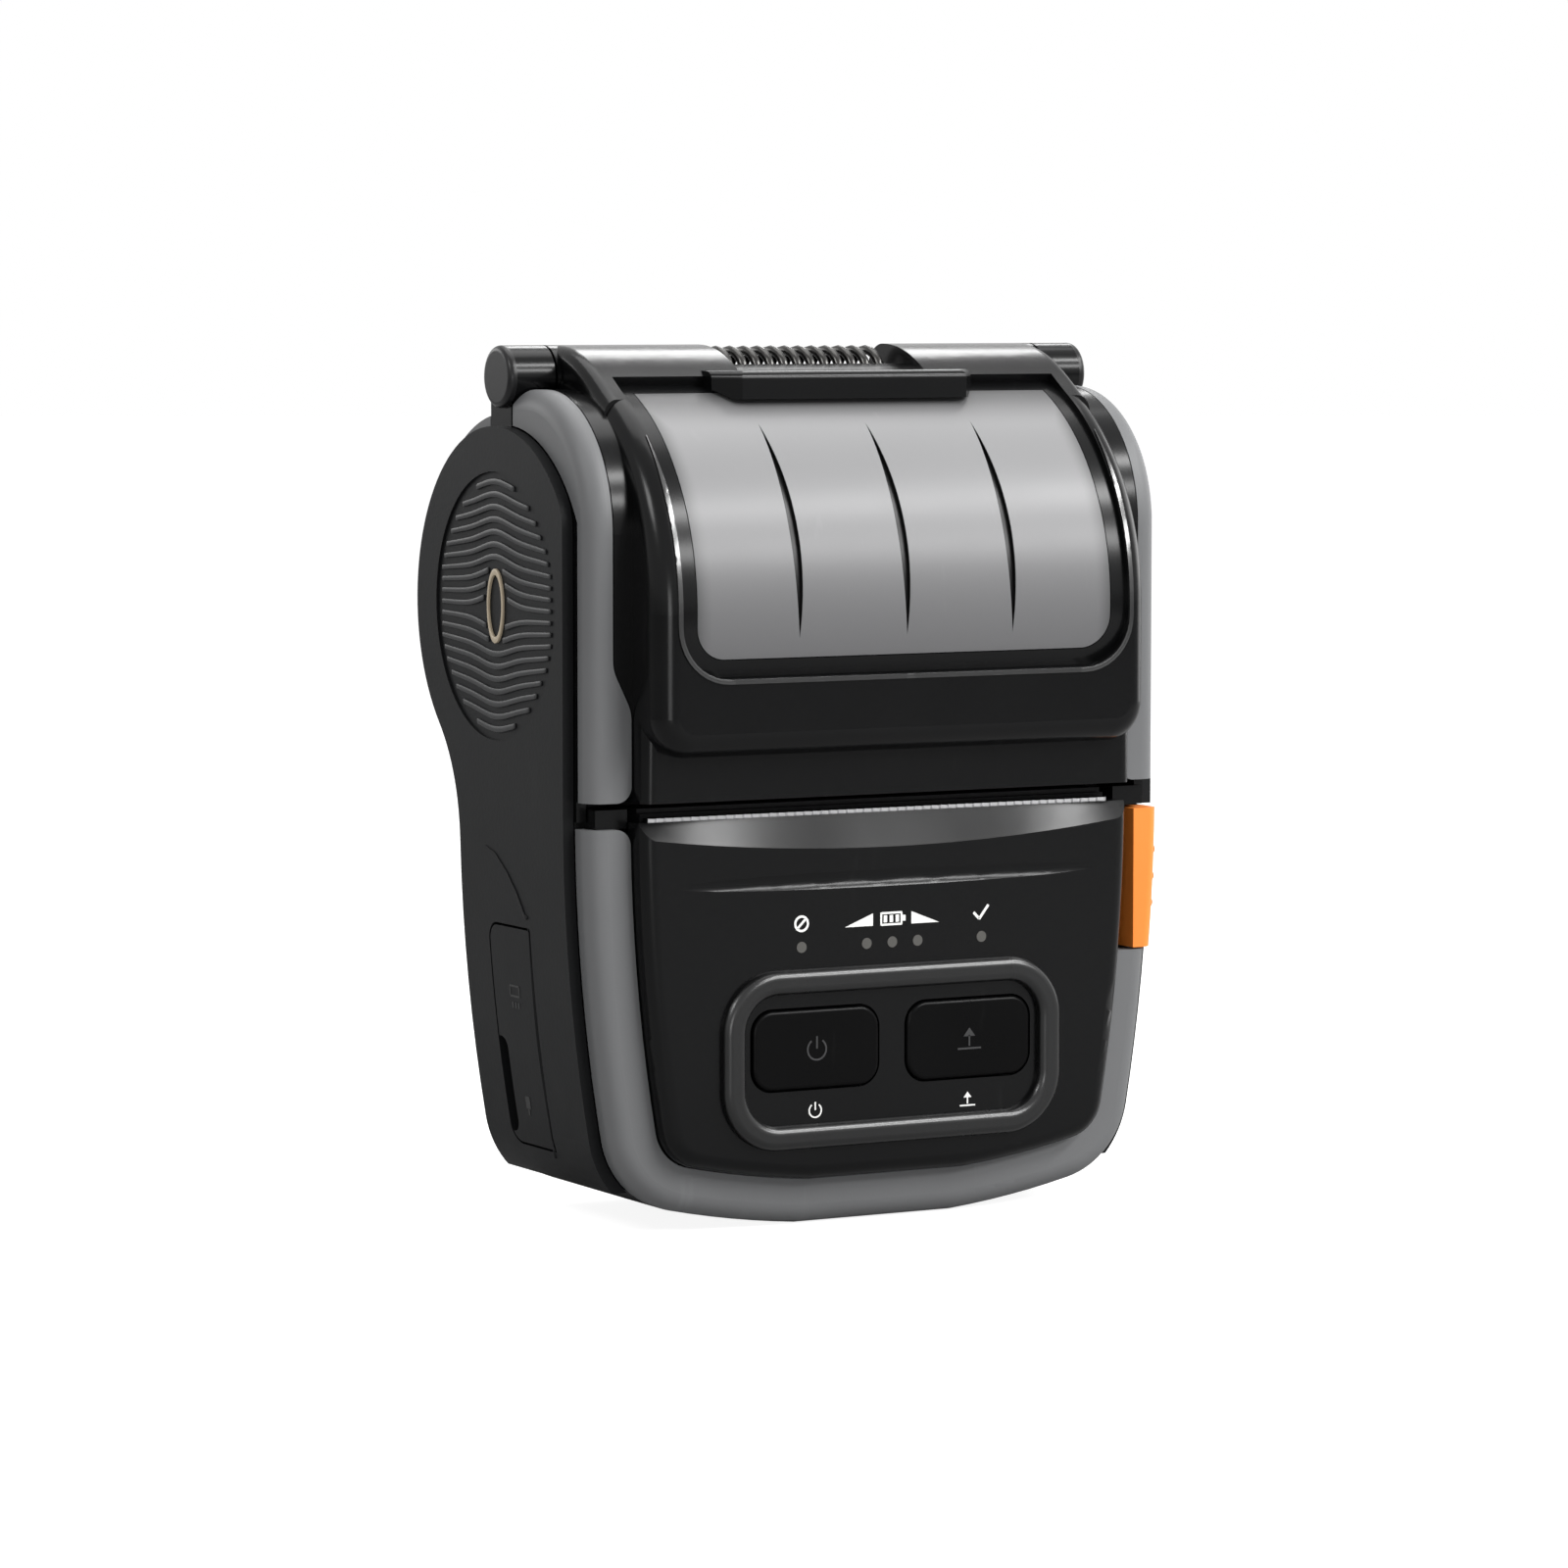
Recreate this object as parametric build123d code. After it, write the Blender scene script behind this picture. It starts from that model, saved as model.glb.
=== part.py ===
from build123d import *
from math import atan2, cos, degrees, hypot, pi, radians, sin, sqrt
import os

# A belt-worn ticket printer that stands on its foot. Millimetres.
# X runs across the printer, -Y is the front, +Z is up, and the origin is under its middle on the floor.

# Widths, as half of the printer each side of the middle
roll_half_width = 40.0        # 80 mm paper
guide_room = 3.3              # between the end of the roll and the side wall of its tub
lid_margin = 3.0              # between the end of the roll and the side of the lid's drum
bumper_width = 7.2            # from the side of the drum to the outside of the grey bumpers
side_cover_wall = 1.8         # thickness of a side cover
side_cover_gap = 0.15         # between a side cover and the shell it lies on
skin_end_x = 12.0             # from the middle to where a side cover's skin ends under the foot
panel_inset = 7.2             # from the side of the case to the side of the black control panel
tub_half_width = roll_half_width + guide_room
drum_half_width = roll_half_width + lid_margin
case_half_width = drum_half_width + bumper_width

# Heights
slot_height = 64.0            # paper slot above the foot
roll_above_slot = 30.6        # axis of the paper roll above the slot
hinge_above_slot = 65.6       # lid's hinge axis above the slot
foot_bow_radius = 160.0       # bow of the foot, seen from the front
foot_bow_cut = 0.6            # how much of the bow is cut off flat to stand on
side_bow_radius = 290.0       # bow of the sides below the slot
lower_corner_radius = 14.0    # rounding of the lower corners, seen from the front

# Depths, measured back from the foremost line of the lid
panel_setback = 5.5           # control panel
lid_bumper_setback = 8.8      # face of the lid's grey bumpers
bumper_setback = 9.2          # face of the lower grey bumper
parting_setback = 13.3        # where lid and body meet at the sides
cover_setback = 14.0          # front edge of a side cover
case_split_setback = 15.0     # front case meets rear shell
lower_back_setback = 49.6     # flat back of the lower body
back_blend_radius = 26.0      # hollow curve from the flat back up to the round back
heel_radius = 7.0             # rounding at the bottom of the back

# Round forms about the axis of the paper roll
drum_radius = 37.0            # lid
cover_radius = 27.5           # round end of a side cover
shell_sink = 0.3              # round rear shell within the covers' rounding
roll_radius = 24.0            # largest paper roll
window_sink = 0.8             # face of the lid's window within the lid's rounding
shell_radius = cover_radius - shell_sink
window_radius = drum_radius - window_sink

# Walls and gaps
shell_wall = 1.6
panel_wall = 2.0
lid_wall = 2.3
bumper_lap = 1.4              # how far the lower bumper wraps over the front case's flange
part_gap = 0.5                # between lid and body
snug_gap = 0.2                # between pieces that are clipped together
slide_gap = 0.3               # round a piece that moves straight
past = 1.0                    # how far a cut runs past what it cuts

roll_y = (drum_radius - cover_radius) / 2
roll_z = slot_height + roll_above_slot
front_y = roll_y - drum_radius
panel_y = front_y + panel_setback
split_y = front_y + case_split_setback
back_y = front_y + lower_back_setback
hinge_behind_roll = 0.5
hinge_y = roll_y + hinge_behind_roll
hinge_z = slot_height + hinge_above_slot
tall = slot_height + roll_above_slot + drum_radius

# Lid
slot_gap = 2.1                # height of the paper slot
brow_height = 9.0             # lower edge of the lid's raised front above the slot line
brow_setback = 5.0            # face of the lid's lower lip
brow_corner = 6.0             # rounding of the raised front's lower corners, seen from the front
brow_wall = 4.0               # thickness of the raised front
lip_edge = 2.0                # upright edges of the lower lip
lid_bumper_top = 63.7         # top of the lid's grey bumpers above the slot
lid_bumper_rounding = 21.3
bumper_edge = 3.0             # soft edge of the grey bumpers
drum_edge = 3.6               # soft side edge of the lid's drum
lid_rear = 4.8                # how far before the hinge axis the drum ends
cheek_wall = 1.8              # lid's inner side cheeks, which carry the roller
window_side = 6.8             # between the side of the drum and the window
window_top = 116.0            # angles of the window's ends about the roll, from straight back
window_bottom = 191.0
window_thickness = 1.6
window_ledge = 2.0            # ledge that the window lies on
window_rim = 2.8              # sunk rim round the window
window_corner = 5.0           # rounding of the window's lower corners, seen from the front
window_seat_gap = 0.15
window_half_width = drum_half_width - window_side
cheek_step = 40.0             # heights above the slot up to which the lid's cheeks stop at the roller
cheek_top = 52.0
cheek_slant = 0.8
rail_width = 3.1              # black rail between the drum and a grey bumper, above the jog
jog_low = 15.8                # where the bumper's inner edge steps inward, above the slot
jog_high = 22.2
jog_rounding = 6.0
bumper_corner = 2.5           # inner corner of a grey bumper beside the slot
groove_count = 3
groove_pitch = 18.7
groove_width = 1.5            # at the middle of a groove, which is pointed at both ends
groove_depth = 0.7
tab_root = 23.0               # half width of the lid's finger tab at its root
tab_tip = 19.8
tab_reach = 20.0              # tip of the tab in front of the roll axis
tab_low = 62.2                # underside of the tab above the slot
tab_thickness = 4.3
tab_clearance = 0.5           # between the window and the tab over its upper edge
tab_slant = 4.0               # how far behind its tip the tab has its full width
tab_rounding = 1.2
crown_edge = 2.2
crown_reach = 19.0            # how far before the roll's axis the crown over the barrels meets the drum
roll_room = 1.6               # free space round a full paper roll
lip_height = 12.0             # height of the open space behind the lid's lower lip
bearing_back = 1.6            # lid's cheek behind the roller's bush
groove_low = 26.5             # ends of the window's grooves above the slot
groove_high = 58.6

# Hinge
barrel_radius = 4.8
pin_radius = 1.5
pin_play = 0.05
barrel_gap = 0.4
body_barrel_length = 6.5
body_barrel_inner = case_half_width - body_barrel_length
lid_barrel_inner = 16.5       # inner face of a lid barrel
end_cap_thickness = 1.3
end_cap_rounding = 0.9
neck_front = 2.6
neck_back = 4.4
spring_half_length = 14.0
spring_half_turns = 23
spring_wire_radius = 0.75
spring_mean_radius = 3.85
spring_leg = 4.0
spring_room_gap = 0.6
gap_step = 0.25               # between the points on which a spring's gap is measured

# Platen roller and its drive
platen_radius = 6.0
platen_shaft_radius = 2.0
platen_behind_front = 17.5
shaft_right_end = 2.2         # shaft beyond the drum on the side without gears
platen_above_slot = 7.0
bush_radius = 3.2
bush_flange = 0.9
bush_flange_thickness = 0.8
shaft_play = 0.05
gear_module = 0.6
platen_teeth = 18
idler_teeth = 24
pinion_teeth = 10
gear_width = 2.2
gear_backlash = 0.12
gear_addendum = 0.9           # in modules
gear_dedendum = 1.2
tooth_tip_share = 0.42        # width of a tooth at its tip and root, against that on the pitch circle
tooth_root_share = 1.55
gear_setback = 2.4            # outer face of the gears inside the outside of the case
gear_outer_face = case_half_width - gear_setback
idler_angle = 36.6            # direction from platen to idler, from straight down towards the back
pinion_angle = 40.0           # direction from idler to pinion, likewise
idler_pin_radius = 1.0
motor_radius = 8.0
motor_length = 16.0
motor_shaft_radius = 0.75
gear_plate_thickness = 0.8
gear_plate_gap = 0.35
gear_plate_margin = 1.0       # plate beyond the motor, and free space in it round the shafts
idler_margin = 6.0
pin_head_radius = 1.8
pin_head_height = 0.5
motor_collar_radius = 2.4
motor_collar_height = 1.2
motor_edge = 0.8
shaft_seat = 4.0

# Print head
head_depth = 12.0
head_board_thickness = 0.7
head_touch_gap = 0.1
heat_sink_thickness = 3.2
tear_bar_margin = 0.5         # how far the tear bar runs past the paper
tear_bar_half_width = roll_half_width + tear_bar_margin
tear_bar_thickness = 0.5
tear_setback = 2.6            # tips of the teeth behind the panel
tear_tooth_pitch = 1.5
tear_tooth_depth = 0.6
facet_depth = 2.5             # slanted face under the slot
facet_end_drop = 3.2
facet_middle_drop = 6.1
crease_side = 6.0             # from the side of the lid's drum to the end of the panel's crease
crease_half = drum_half_width - crease_side
crease_depth = 0.45
crease_radius = 2.2           # hollow of the crease, seen from the side
crease_drop = 10.8            # crease below the slot line
shoulder_setback = 1.5        # front case's shoulder behind the face of the lower bumper
shoulder_rise = 1.0           # its top above the slot line
flange_depth = 2.6            # front case's flange under the lower bumper
flange_edge = 1.0             # part of the flange that reaches the outside
panel_edge = 2.4
lip_drop = 0.9                # body's front lip below the slot line
bumper_drop = 1.7             # top of the lower bumper below the slot line
paper_ramp_wall = 1.2
ramp_behind_platen = 7.0
tub_side_drop = 2.0           # lower end of the tub's sides below the slot line
tub_wall = 1.0
tub_gap = 0.1
tub_rest_drop = 3.2
tub_front_width = 8.0
tub_corner_share = 0.8
trough_wall = 1.1
trough_end_drop = 9.0
shelf_gap = 0.3
shelf_thickness = 1.2
shelf_behind_panel = 4.0
head_room_gap = 0.4
fin_count = 5
fin_pitch = 2.4
fin_gap = 1.0
fin_depth = 1.4
head_margin = 1.0

# Control panel
key_spread = 13.5
key_drop = 36.4
key_width = 22.0
key_tall = 12.2
key_corner = 3.4
key_proud = 0.5
key_travel = 0.8
key_flange = 1.2
key_flange_thickness = 1.2
key_edge = 0.6
bezel_width = 59.5
bezel_tall = 27.6
bezel_drop = 37.9
bezel_ring = 3.8
bezel_corner = 9.5
bezel_proud = 1.7
bezel_edge = 1.36
lamp_drop = 20.8
lamp_spread = 15.9
battery_lamp_pitch = 4.5
lamp_radius = 0.85
lamp_proud = 0.1
lamp_play = 0.02
dome_radius = 3.0
dome_height = 1.0
dome_tip_radius = 1.8
dome_foot_height = 0.6
touch_gap = 0.15

# Release button and latch on the right
release_top_drop = 2.5
release_bottom_drop = 24.5
release_depth = 9.6
release_thickness = 4.2
release_proud = 0.6
release_travel = 2.0
release_rib_count = 3
release_rib_pitch = 4.2
release_rib_radius = 0.9
release_rib_sink = 0.3
release_edge = 2.0
release_stud = 3.0            # height of the stud that pushes the latch
release_stud_length = 6.2
release_stud_inset = 1.0      # end of the stud before the back of the latch
release_spring_radius = 1.5
release_spring_wire = 0.25
release_spring_half_turns = 6
release_spring_drop = 10.0
spring_cup_wall = 1.6
spring_cup_depth = 1.4
latch_pivot_drop = 7.0
latch_thickness = 4.0
latch_arm = 2.4
latch_lever_length = 10.0     # from the pivot down to the stud that pushes it
pad_gap = 0.1
latch_pin_radius = 1.0
latch_boss_radius = 2.6
lug_thickness = 2.4
lug_gap = 0.3
latch_behind_button = 1.0
latch_low_drop = 20.0
latch_nose_above_slot = 6.0
latch_clearance = 0.3

# Left side: connectors and their door
door_front_setback = 26.8
door_width = 13.6
door_top_drop = 18.5
door_foot = 11.5              # lower end of the door above the floor
door_corner = 2.5
door_front_corner = 0.5
door_gap = 0.4
door_notch_depth = 2.6
door_notch_low = 1.5          # ends of the finger notch above the lower end of the door
door_notch_high = 16.5
door_notch_corner = 2.0
door_hinge_setback = 0.85     # hinge axis behind the door's front edge
door_hinge_lift = 1.2         # hinge axis outside the case's side
door_hinge_radius = 0.74      # round front edge of the door about its hinge
door_edge_lift = 0.45         # second rounding of that edge, further out
door_pin_radius = 0.35
door_pin_reach = 1.2          # how far a pin of the door stands in the side cover
socket_sizes = ((9.4, 3.6, 3.7), (11.0, 3.8, -8.1))   # height, width and place above the door's middle
socket_frame_margin = 1.0
socket_depth = 7.0
socket_floor = 6.0            # how deep the sockets' mouths lie inside the case's side
socket_wall = 0.5
socket_corner = 1.0
socket_play = 0.1
frame_thickness = 1.4
frame_margin = 1.2
side_board_thickness = 1.2
side_board_margin = 0.5

# Battery, board and belt clip
battery_inset = 6.0           # side of the battery within the end of the roll
battery_half_width = roll_half_width - battery_inset
battery_top_drop = 22.5
battery_foot = 6.8            # underside of the battery above the floor
battery_depth = 19.0
battery_edge = 1.6
battery_rim = 0.8
tray_wall = 1.2
finger_scoop_half_width = 9.0
finger_scoop_radius = 5.0
finger_scoop_out = 2.6
contact_count = 3
contact_pitch = 6.0
contact_width = 2.4
contact_height = 5.0
contact_top = 4.0
contact_room = 2.0
contact_tip_radius = 0.6
board_inset = 4.0             # side of the board within the end of the roll
board_half_width = roll_half_width - board_inset
board_thickness = 1.6
chip_height = 1.2
chip_sizes = (                # across, below the slot, width and height
    (-14.0, 30.0, 10.0, 10.0),
    (4.0, 34.0, 7.0, 9.0),
    (18.0, 28.0, 6.0, 6.0),
    (-28.0, 44.0, 5.0, 8.0),
)
board_behind_panel = 10.2
board_top_drop = 8.5
board_foot = 6.5              # lower edge of the board above the floor
clip_half_width = 11.0
clip_top_drop = -2.0
clip_bottom_drop = 21.5
clip_corner = 4.0
clip_lip = 1.2
clip_lip_height = 2.0
clip_pin_behind = 0.4
clip_thickness = 2.2
clip_gap = 5.2
clip_pin_radius = 1.2
clip_lug_wall = 2.4
clip_knuckle_radius = 3.0
clip_spring_half_turns = 8
clip_spring_wire = 0.45
clip_spring_clearance = 0.5
clip_spring_leg = 1.2
clip_spring_share = 0.45
clip_spring_room = 0.6

# Fasteners
screw_head_radius = 2.2
screw_head_height = 1.6
screw_shank_radius = 1.1
screw_slot = 0.7
screw_slot_depth = 0.8
screw_slot_share = 0.7
screw_play = 0.1
screw_beside_battery = 5.4
screw_spread = battery_half_width + screw_beside_battery
screw_top_drop = 23.2
screw_foot = 10.2             # lower screws above the floor
screw_boss_radius = 2.7
screw_bite = 2.2              # depth of thread in the front case

rib_patch_radius = 20.6
rib_patch_depth = 0.4
guide_radius = 13.0
guide_thickness = 1.2
guide_hub_radius = 5.0
guide_hub_reach = 2.0
guide_gap = 0.4
guide_collar = 2.0
crescent_lift = 1.9
crescent_inner = 1.0
crescent_low_share = 0.32
cover_nose_radius = 8.0
cover_foot_share = 0.45
cradle_front = 2.6
cradle_drop = 2.0
neck_root = 2.4
neck_inset = 1.5
mouth_front = 3.0
swing_depth = 8.0
swing_height = 15.5
door_rebate = 1.2
scoop_depth = 1.0

lid_rear_y = hinge_y - lid_rear
slot_z = slot_height
brow_z = slot_z + brow_height
rail_half_width = drum_half_width + rail_width
door_middle_z = (door_foot + slot_z - door_top_drop) / 2
platen_y = front_y + platen_behind_front
platen_z = slot_z + platen_above_slot
clip_y = back_y + clip_gap
clip_pin_z = slot_z - clip_top_drop
clip_pin_y = clip_y + clip_thickness / 2 + clip_pin_behind
inner_half_width = case_half_width - shell_wall
gear_inner_face = gear_outer_face - gear_width
spring_swing = hypot(spring_mean_radius + spring_wire_radius, spring_leg) + snug_gap
idler_distance = gear_module * (platen_teeth + idler_teeth) / 2
pinion_distance = gear_module * (idler_teeth + pinion_teeth) / 2
idler_y = platen_y + idler_distance * sin(radians(idler_angle))
idler_z = platen_z - idler_distance * cos(radians(idler_angle))
pinion_y = idler_y + pinion_distance * sin(radians(pinion_angle))
pinion_z = idler_z - pinion_distance * cos(radians(pinion_angle))
gear_plate_outer = gear_inner_face - gear_plate_gap
sink_top = slot_z + platen_above_slot - platen_radius - head_touch_gap - head_board_thickness
board_front_y = panel_y + board_behind_panel
head_front_y = platen_y - head_depth / 2 - head_margin
ramp_y = platen_y + ramp_behind_platen
button_face_y = front_y + bumper_setback
latch_outer_x = case_half_width - release_thickness - release_travel - 0.2
latch_front_y = button_face_y + release_depth + latch_behind_button
latch_pin_x = latch_outer_x - latch_arm / 2
latch_pivot_z = slot_z - latch_pivot_drop
socket_face_x = -case_half_width + socket_floor
cover_outer = side_cover_gap + side_cover_wall
screw_seat_y = back_y - screw_head_height - snug_gap
case_bottom = -20.0
far = 100.0
near = 0.1
clip_spring_half = clip_half_width * clip_spring_share
release_spring_y = button_face_y + release_depth / 2
release_spring_z = slot_z - release_spring_drop
release_cup_radius = release_spring_radius + release_spring_wire + slide_gap
spring_cup_x = case_half_width - panel_inset - spring_cup_depth


def block(x_low, x_high, y_low, y_high, z_low, z_high):
    """A box between two corners."""
    middle = Pos((x_low + x_high) / 2, (y_low + y_high) / 2, (z_low + z_high) / 2)
    return middle * Box(x_high - x_low, y_high - y_low, z_high - z_low)


def along_x(face, x_low, x_high):
    """A side view, drawn in Y and Z, drawn out along X."""
    return extrude(Plane.YZ.offset(x_low) * face, x_high - x_low)


def along_y(face, y_low, y_high):
    """A front view, drawn in X and Z, drawn out along Y."""
    return extrude(Plane.XZ.offset(-y_high) * face, y_high - y_low)


def rod_x(y, z, radius, x_low, x_high):
    """A round bar along X."""
    return along_x(Pos(y, z) * Circle(radius), x_low, x_high)


def rod_y(x, z, radius, y_low, y_high):
    """A round bar along Y."""
    return along_y(Pos(x, z) * Circle(radius), y_low, y_high)


def span(u_low, u_high, v_low, v_high):
    """A flat rectangle between two corners of a sketch."""
    return Pos((u_low + u_high) / 2, (v_low + v_high) / 2) * Rectangle(u_high - u_low, v_high - v_low)


def roll_circle(radius):
    """A circle about the roll's axis, in a side view."""
    return Pos(roll_y, roll_z) * Circle(radius)


def mirrored(shape):
    """The same shape on the other side of the printer."""
    return mirror(shape, Plane.YZ)


def front_outline(inset):
    """Front view of the case: straight above the slot, bowed in below it, with round lower corners."""
    side = side_bow_radius - inset
    shift = side_bow_radius - case_half_width
    foot = Pos(0, foot_bow_radius - foot_bow_cut) * Circle(foot_bow_radius - inset)
    lower = (Pos(shift, slot_z) * Circle(side)) & (Pos(-shift, slot_z) * Circle(side)) & foot
    half = case_half_width - inset
    lower = lower & span(-2 * half, 2 * half, -slot_z, slot_z)
    corners = lower.vertices().sort_by(Axis.Y)[:2]
    lower = fillet(corners, lower_corner_radius - inset)
    lower = lower & span(-2 * half, 2 * half, inset, slot_z)
    return lower + span(-half, half, slot_z, tall)


def side_outline(radius, front, inset):
    """Side view of the body: round about the roll above, flat back below, with a hollow blend between."""
    rear = back_y - inset
    corner_drop = sqrt(radius ** 2 - (rear - roll_y) ** 2)
    shape = roll_circle(radius) + span(front, rear, inset, roll_z)
    corner = Vector(rear, roll_z - corner_drop, 0)
    nearest = shape.vertices().sort_by_distance(corner)[0]
    shape = fillet(nearest, back_blend_radius + inset)
    heel = shape.vertices().sort_by_distance(Vector(rear, inset, 0))[0]
    shape = fillet(heel, heel_radius - inset)
    return shape & span(front, roll_y + radius + past, inset, tall)


def body_core(radius, front, inset):
    """The whole body as one block, set in by the same amount all round."""
    half = case_half_width
    upright = along_y(front_outline(inset), front, roll_y + cover_radius)
    return upright & along_x(side_outline(radius, front, inset), -half, half)


def drum_outline(inset, front_inset):
    """Side view of the lid's drum above its lip: round above, upright in front."""
    brow = brow_z + inset
    shape = roll_circle(drum_radius - inset) + span(front_y + front_inset, roll_y, brow, roll_z)
    return shape & span(front_y, lid_rear_y, brow, tall)


def drum_front(side_inset, low_inset):
    """Front view of the drum: straight sides and round lower corners."""
    half = drum_half_width - side_inset
    face = span(-half, half, brow_z + low_inset, tall + past)
    return fillet(face.vertices().sort_by(Axis.Y)[:2], brow_corner - side_inset)


def drum_block(side_inset, inset, front_inset):
    """The drum above its lip as one block, set in at the sides, all round and in front."""
    round_part = along_x(drum_outline(inset, front_inset), -case_half_width, case_half_width)
    return round_part & along_y(drum_front(side_inset, inset), front_y - past, lid_rear_y + past)


def drum_shell():
    """The drum with its soft front edge, and the lower lip set back under it."""
    drum = drum_block(0, 0, 0)
    edges = drum.edges().filter_by(Axis.Y, reverse=True)
    front_rim = edges.filter_by(lambda e: e.center().Y < front_y + near and abs(e.center().Z - roll_z) > near)
    round_rim = edges.filter_by(Plane.YZ).filter_by(lambda e: e.center().Z > roll_z)
    round_rim = round_rim.filter_by(lambda e: e.center().Y < lid_rear_y - past)
    drum = fillet(front_rim + round_rim, drum_edge)
    half = drum_half_width
    low = slot_z + slot_gap
    lip = block(-half, half, front_y + brow_setback, lid_rear_y, low, brow_z + brow_corner + past)
    upright = lip.edges().filter_by(Axis.Z).sort_by(Axis.Y)[:2]
    return drum + fillet(upright, lip_edge)


def lid_bumper_outline(inset):
    """Side view of a lid bumper's outside."""
    low_y = front_y + lid_bumper_setback + inset
    high_z = slot_z + lid_bumper_top - inset
    shape = span(low_y, hinge_y, slot_z, high_z)
    corner = shape.vertices().sort_by_distance(Vector(low_y, high_z, 0))[0]
    return fillet(corner, lid_bumper_rounding - inset)


def jog_face(grow):
    """Front view of the lid's black middle on the right, wider above the bumper's jog, made larger by grow."""
    high_x = rail_half_width + grow
    low_x = drum_half_width + grow
    outline = Polyline(
        (0, 0),
        (low_x, 0),
        (low_x, slot_z + jog_low),
        (high_x, slot_z + jog_high),
        (high_x, 2 * tall),
        (0, 2 * tall),
        close=True,
    )
    face = make_face(outline)
    steps = [Vector(low_x, slot_z + jog_low, 0), Vector(high_x, slot_z + jog_high, 0)]
    corners = [face.vertices().sort_by_distance(step)[0] for step in steps]
    return fillet(corners, jog_rounding)


def bumper_room(shape):
    """Part of a lid bumper's space that the body and its hinge barrel leave free."""
    keep = span(front_y, hinge_y - neck_front - part_gap, slot_z + slot_gap, tall)
    body_side = side_outline(shell_radius + part_gap, front_y + parting_setback - part_gap, 0)
    free = shape & along_x(keep - body_side, 0, case_half_width)
    return free - rod_x(hinge_y, hinge_z, barrel_radius + barrel_gap, 0, case_half_width)


def lid_rail(side):
    """Black rail of the lid between its drum and a grey bumper."""
    rail = along_x(lid_bumper_outline(0), drum_half_width - cheek_wall / 2, rail_half_width)
    rail = rail & block(0, far, -far, far, slot_z + jog_low / 2, tall)
    rail = bumper_room(rail & along_y(jog_face(0), front_y, far))
    return mirrored(rail) if side < 0 else rail


def lid_frame():
    """Round black lid with its window opening, finger tab, roller cheeks, rails and hinge barrels."""
    half = drum_half_width
    shell = drum_shell() - lid_hollow()
    for side in (-1, 1):
        shell += lid_rail(side)
        shell += lid_barrel(side)
    shell += finger_tab()
    coil_room = spring_mean_radius + spring_wire_radius + spring_room_gap
    shell -= rod_x(hinge_y, hinge_z, coil_room, -lid_barrel_inner, lid_barrel_inner)
    shell -= rod_x(hinge_y, hinge_z, pin_radius + pin_play, -case_half_width, case_half_width)
    shell -= window_wedge(window_rim, window_radius, drum_radius + lid_wall) - finger_tab()
    shell -= window_wedge(window_seat_gap, window_radius - window_thickness, window_radius + tab_clearance)
    shell -= window_wedge(-window_ledge, roll_radius, window_radius + tab_clearance)
    return shell - rod_x(platen_y, platen_z, bush_radius, -half, half)


def lid_hollow():
    """Space inside the lid, open below and behind, with room for a full paper roll."""
    half = drum_half_width
    inner = half - cheek_wall
    cheek_y = platen_y + bush_radius + bearing_back
    hollow = drum_block(cheek_wall, lid_wall, brow_wall)
    lip_y = front_y + brow_setback + lid_wall
    hollow += block(-inner, inner, lip_y, lid_rear_y + past, slot_z, brow_z + lid_wall + near)
    low_y = front_y + parting_setback
    hollow += block(-inner, inner, low_y, lid_rear_y + past, 0, slot_z + slot_gap + lip_height)
    hollow += along_x(roll_circle(roll_radius + roll_room), -half, half)
    hollow += block(-half, half, cheek_y, far, 0, slot_z + cheek_step)
    return hollow + block(-half, half, cheek_y - cheek_slant, far, slot_z, slot_z + cheek_top)


def crown_outline():
    """Side view of the smooth crown between a barrel and the drum."""
    foot_y = roll_y - crown_reach
    rise = sqrt(drum_radius ** 2 - crown_reach ** 2)
    top = (hinge_y, hinge_z + barrel_radius)
    foot = (foot_y, roll_z + rise)
    curve = Spline(top, foot, tangents=((-1, 0), (-rise, -crown_reach)))
    rest = Polyline(foot, (foot_y, roll_z), (hinge_y, roll_z), top)
    return make_face(curve + rest) - roll_circle(drum_radius - lid_wall)


def lid_barrel(side):
    """One barrel of the lid on the hinge pin, with the crown that joins it to the drum."""
    barrel = rod_x(hinge_y, hinge_z, barrel_radius, lid_barrel_inner, body_barrel_inner - barrel_gap)
    crown = along_x(crown_outline(), lid_barrel_inner, drum_half_width)
    rim = crown.edges().filter_by(lambda e: e.center().X > drum_half_width - near).sort_by(Axis.Z)[-1]
    barrel += fillet(rim, crown_edge)
    return mirrored(barrel) if side < 0 else barrel


def finger_tab():
    """Flat tab in the middle of the lid's top, by which the lid is lifted."""
    low = slot_z + tab_low
    tip_y = roll_y - tab_reach
    outline = Polyline(
        (-tab_root, lid_rear_y - past),
        (-tab_root, tip_y + tab_slant),
        (-tab_tip, tip_y),
        (tab_tip, tip_y),
        (tab_root, tip_y + tab_slant),
        (tab_root, lid_rear_y - past),
        close=True,
    )
    tab = extrude(Plane.XY.offset(low) * make_face(outline), tab_thickness)
    rim = tab.edges().filter_by(Plane.XY).filter_by(lambda e: e.center().Z > low + tab_thickness / 2)
    tab = fillet(rim.filter_by(lambda e: e.center().Y < tip_y + tab_slant), tab_rounding)
    return tab - along_x(roll_circle(drum_radius - lid_wall), -tab_root, tab_root)


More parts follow.
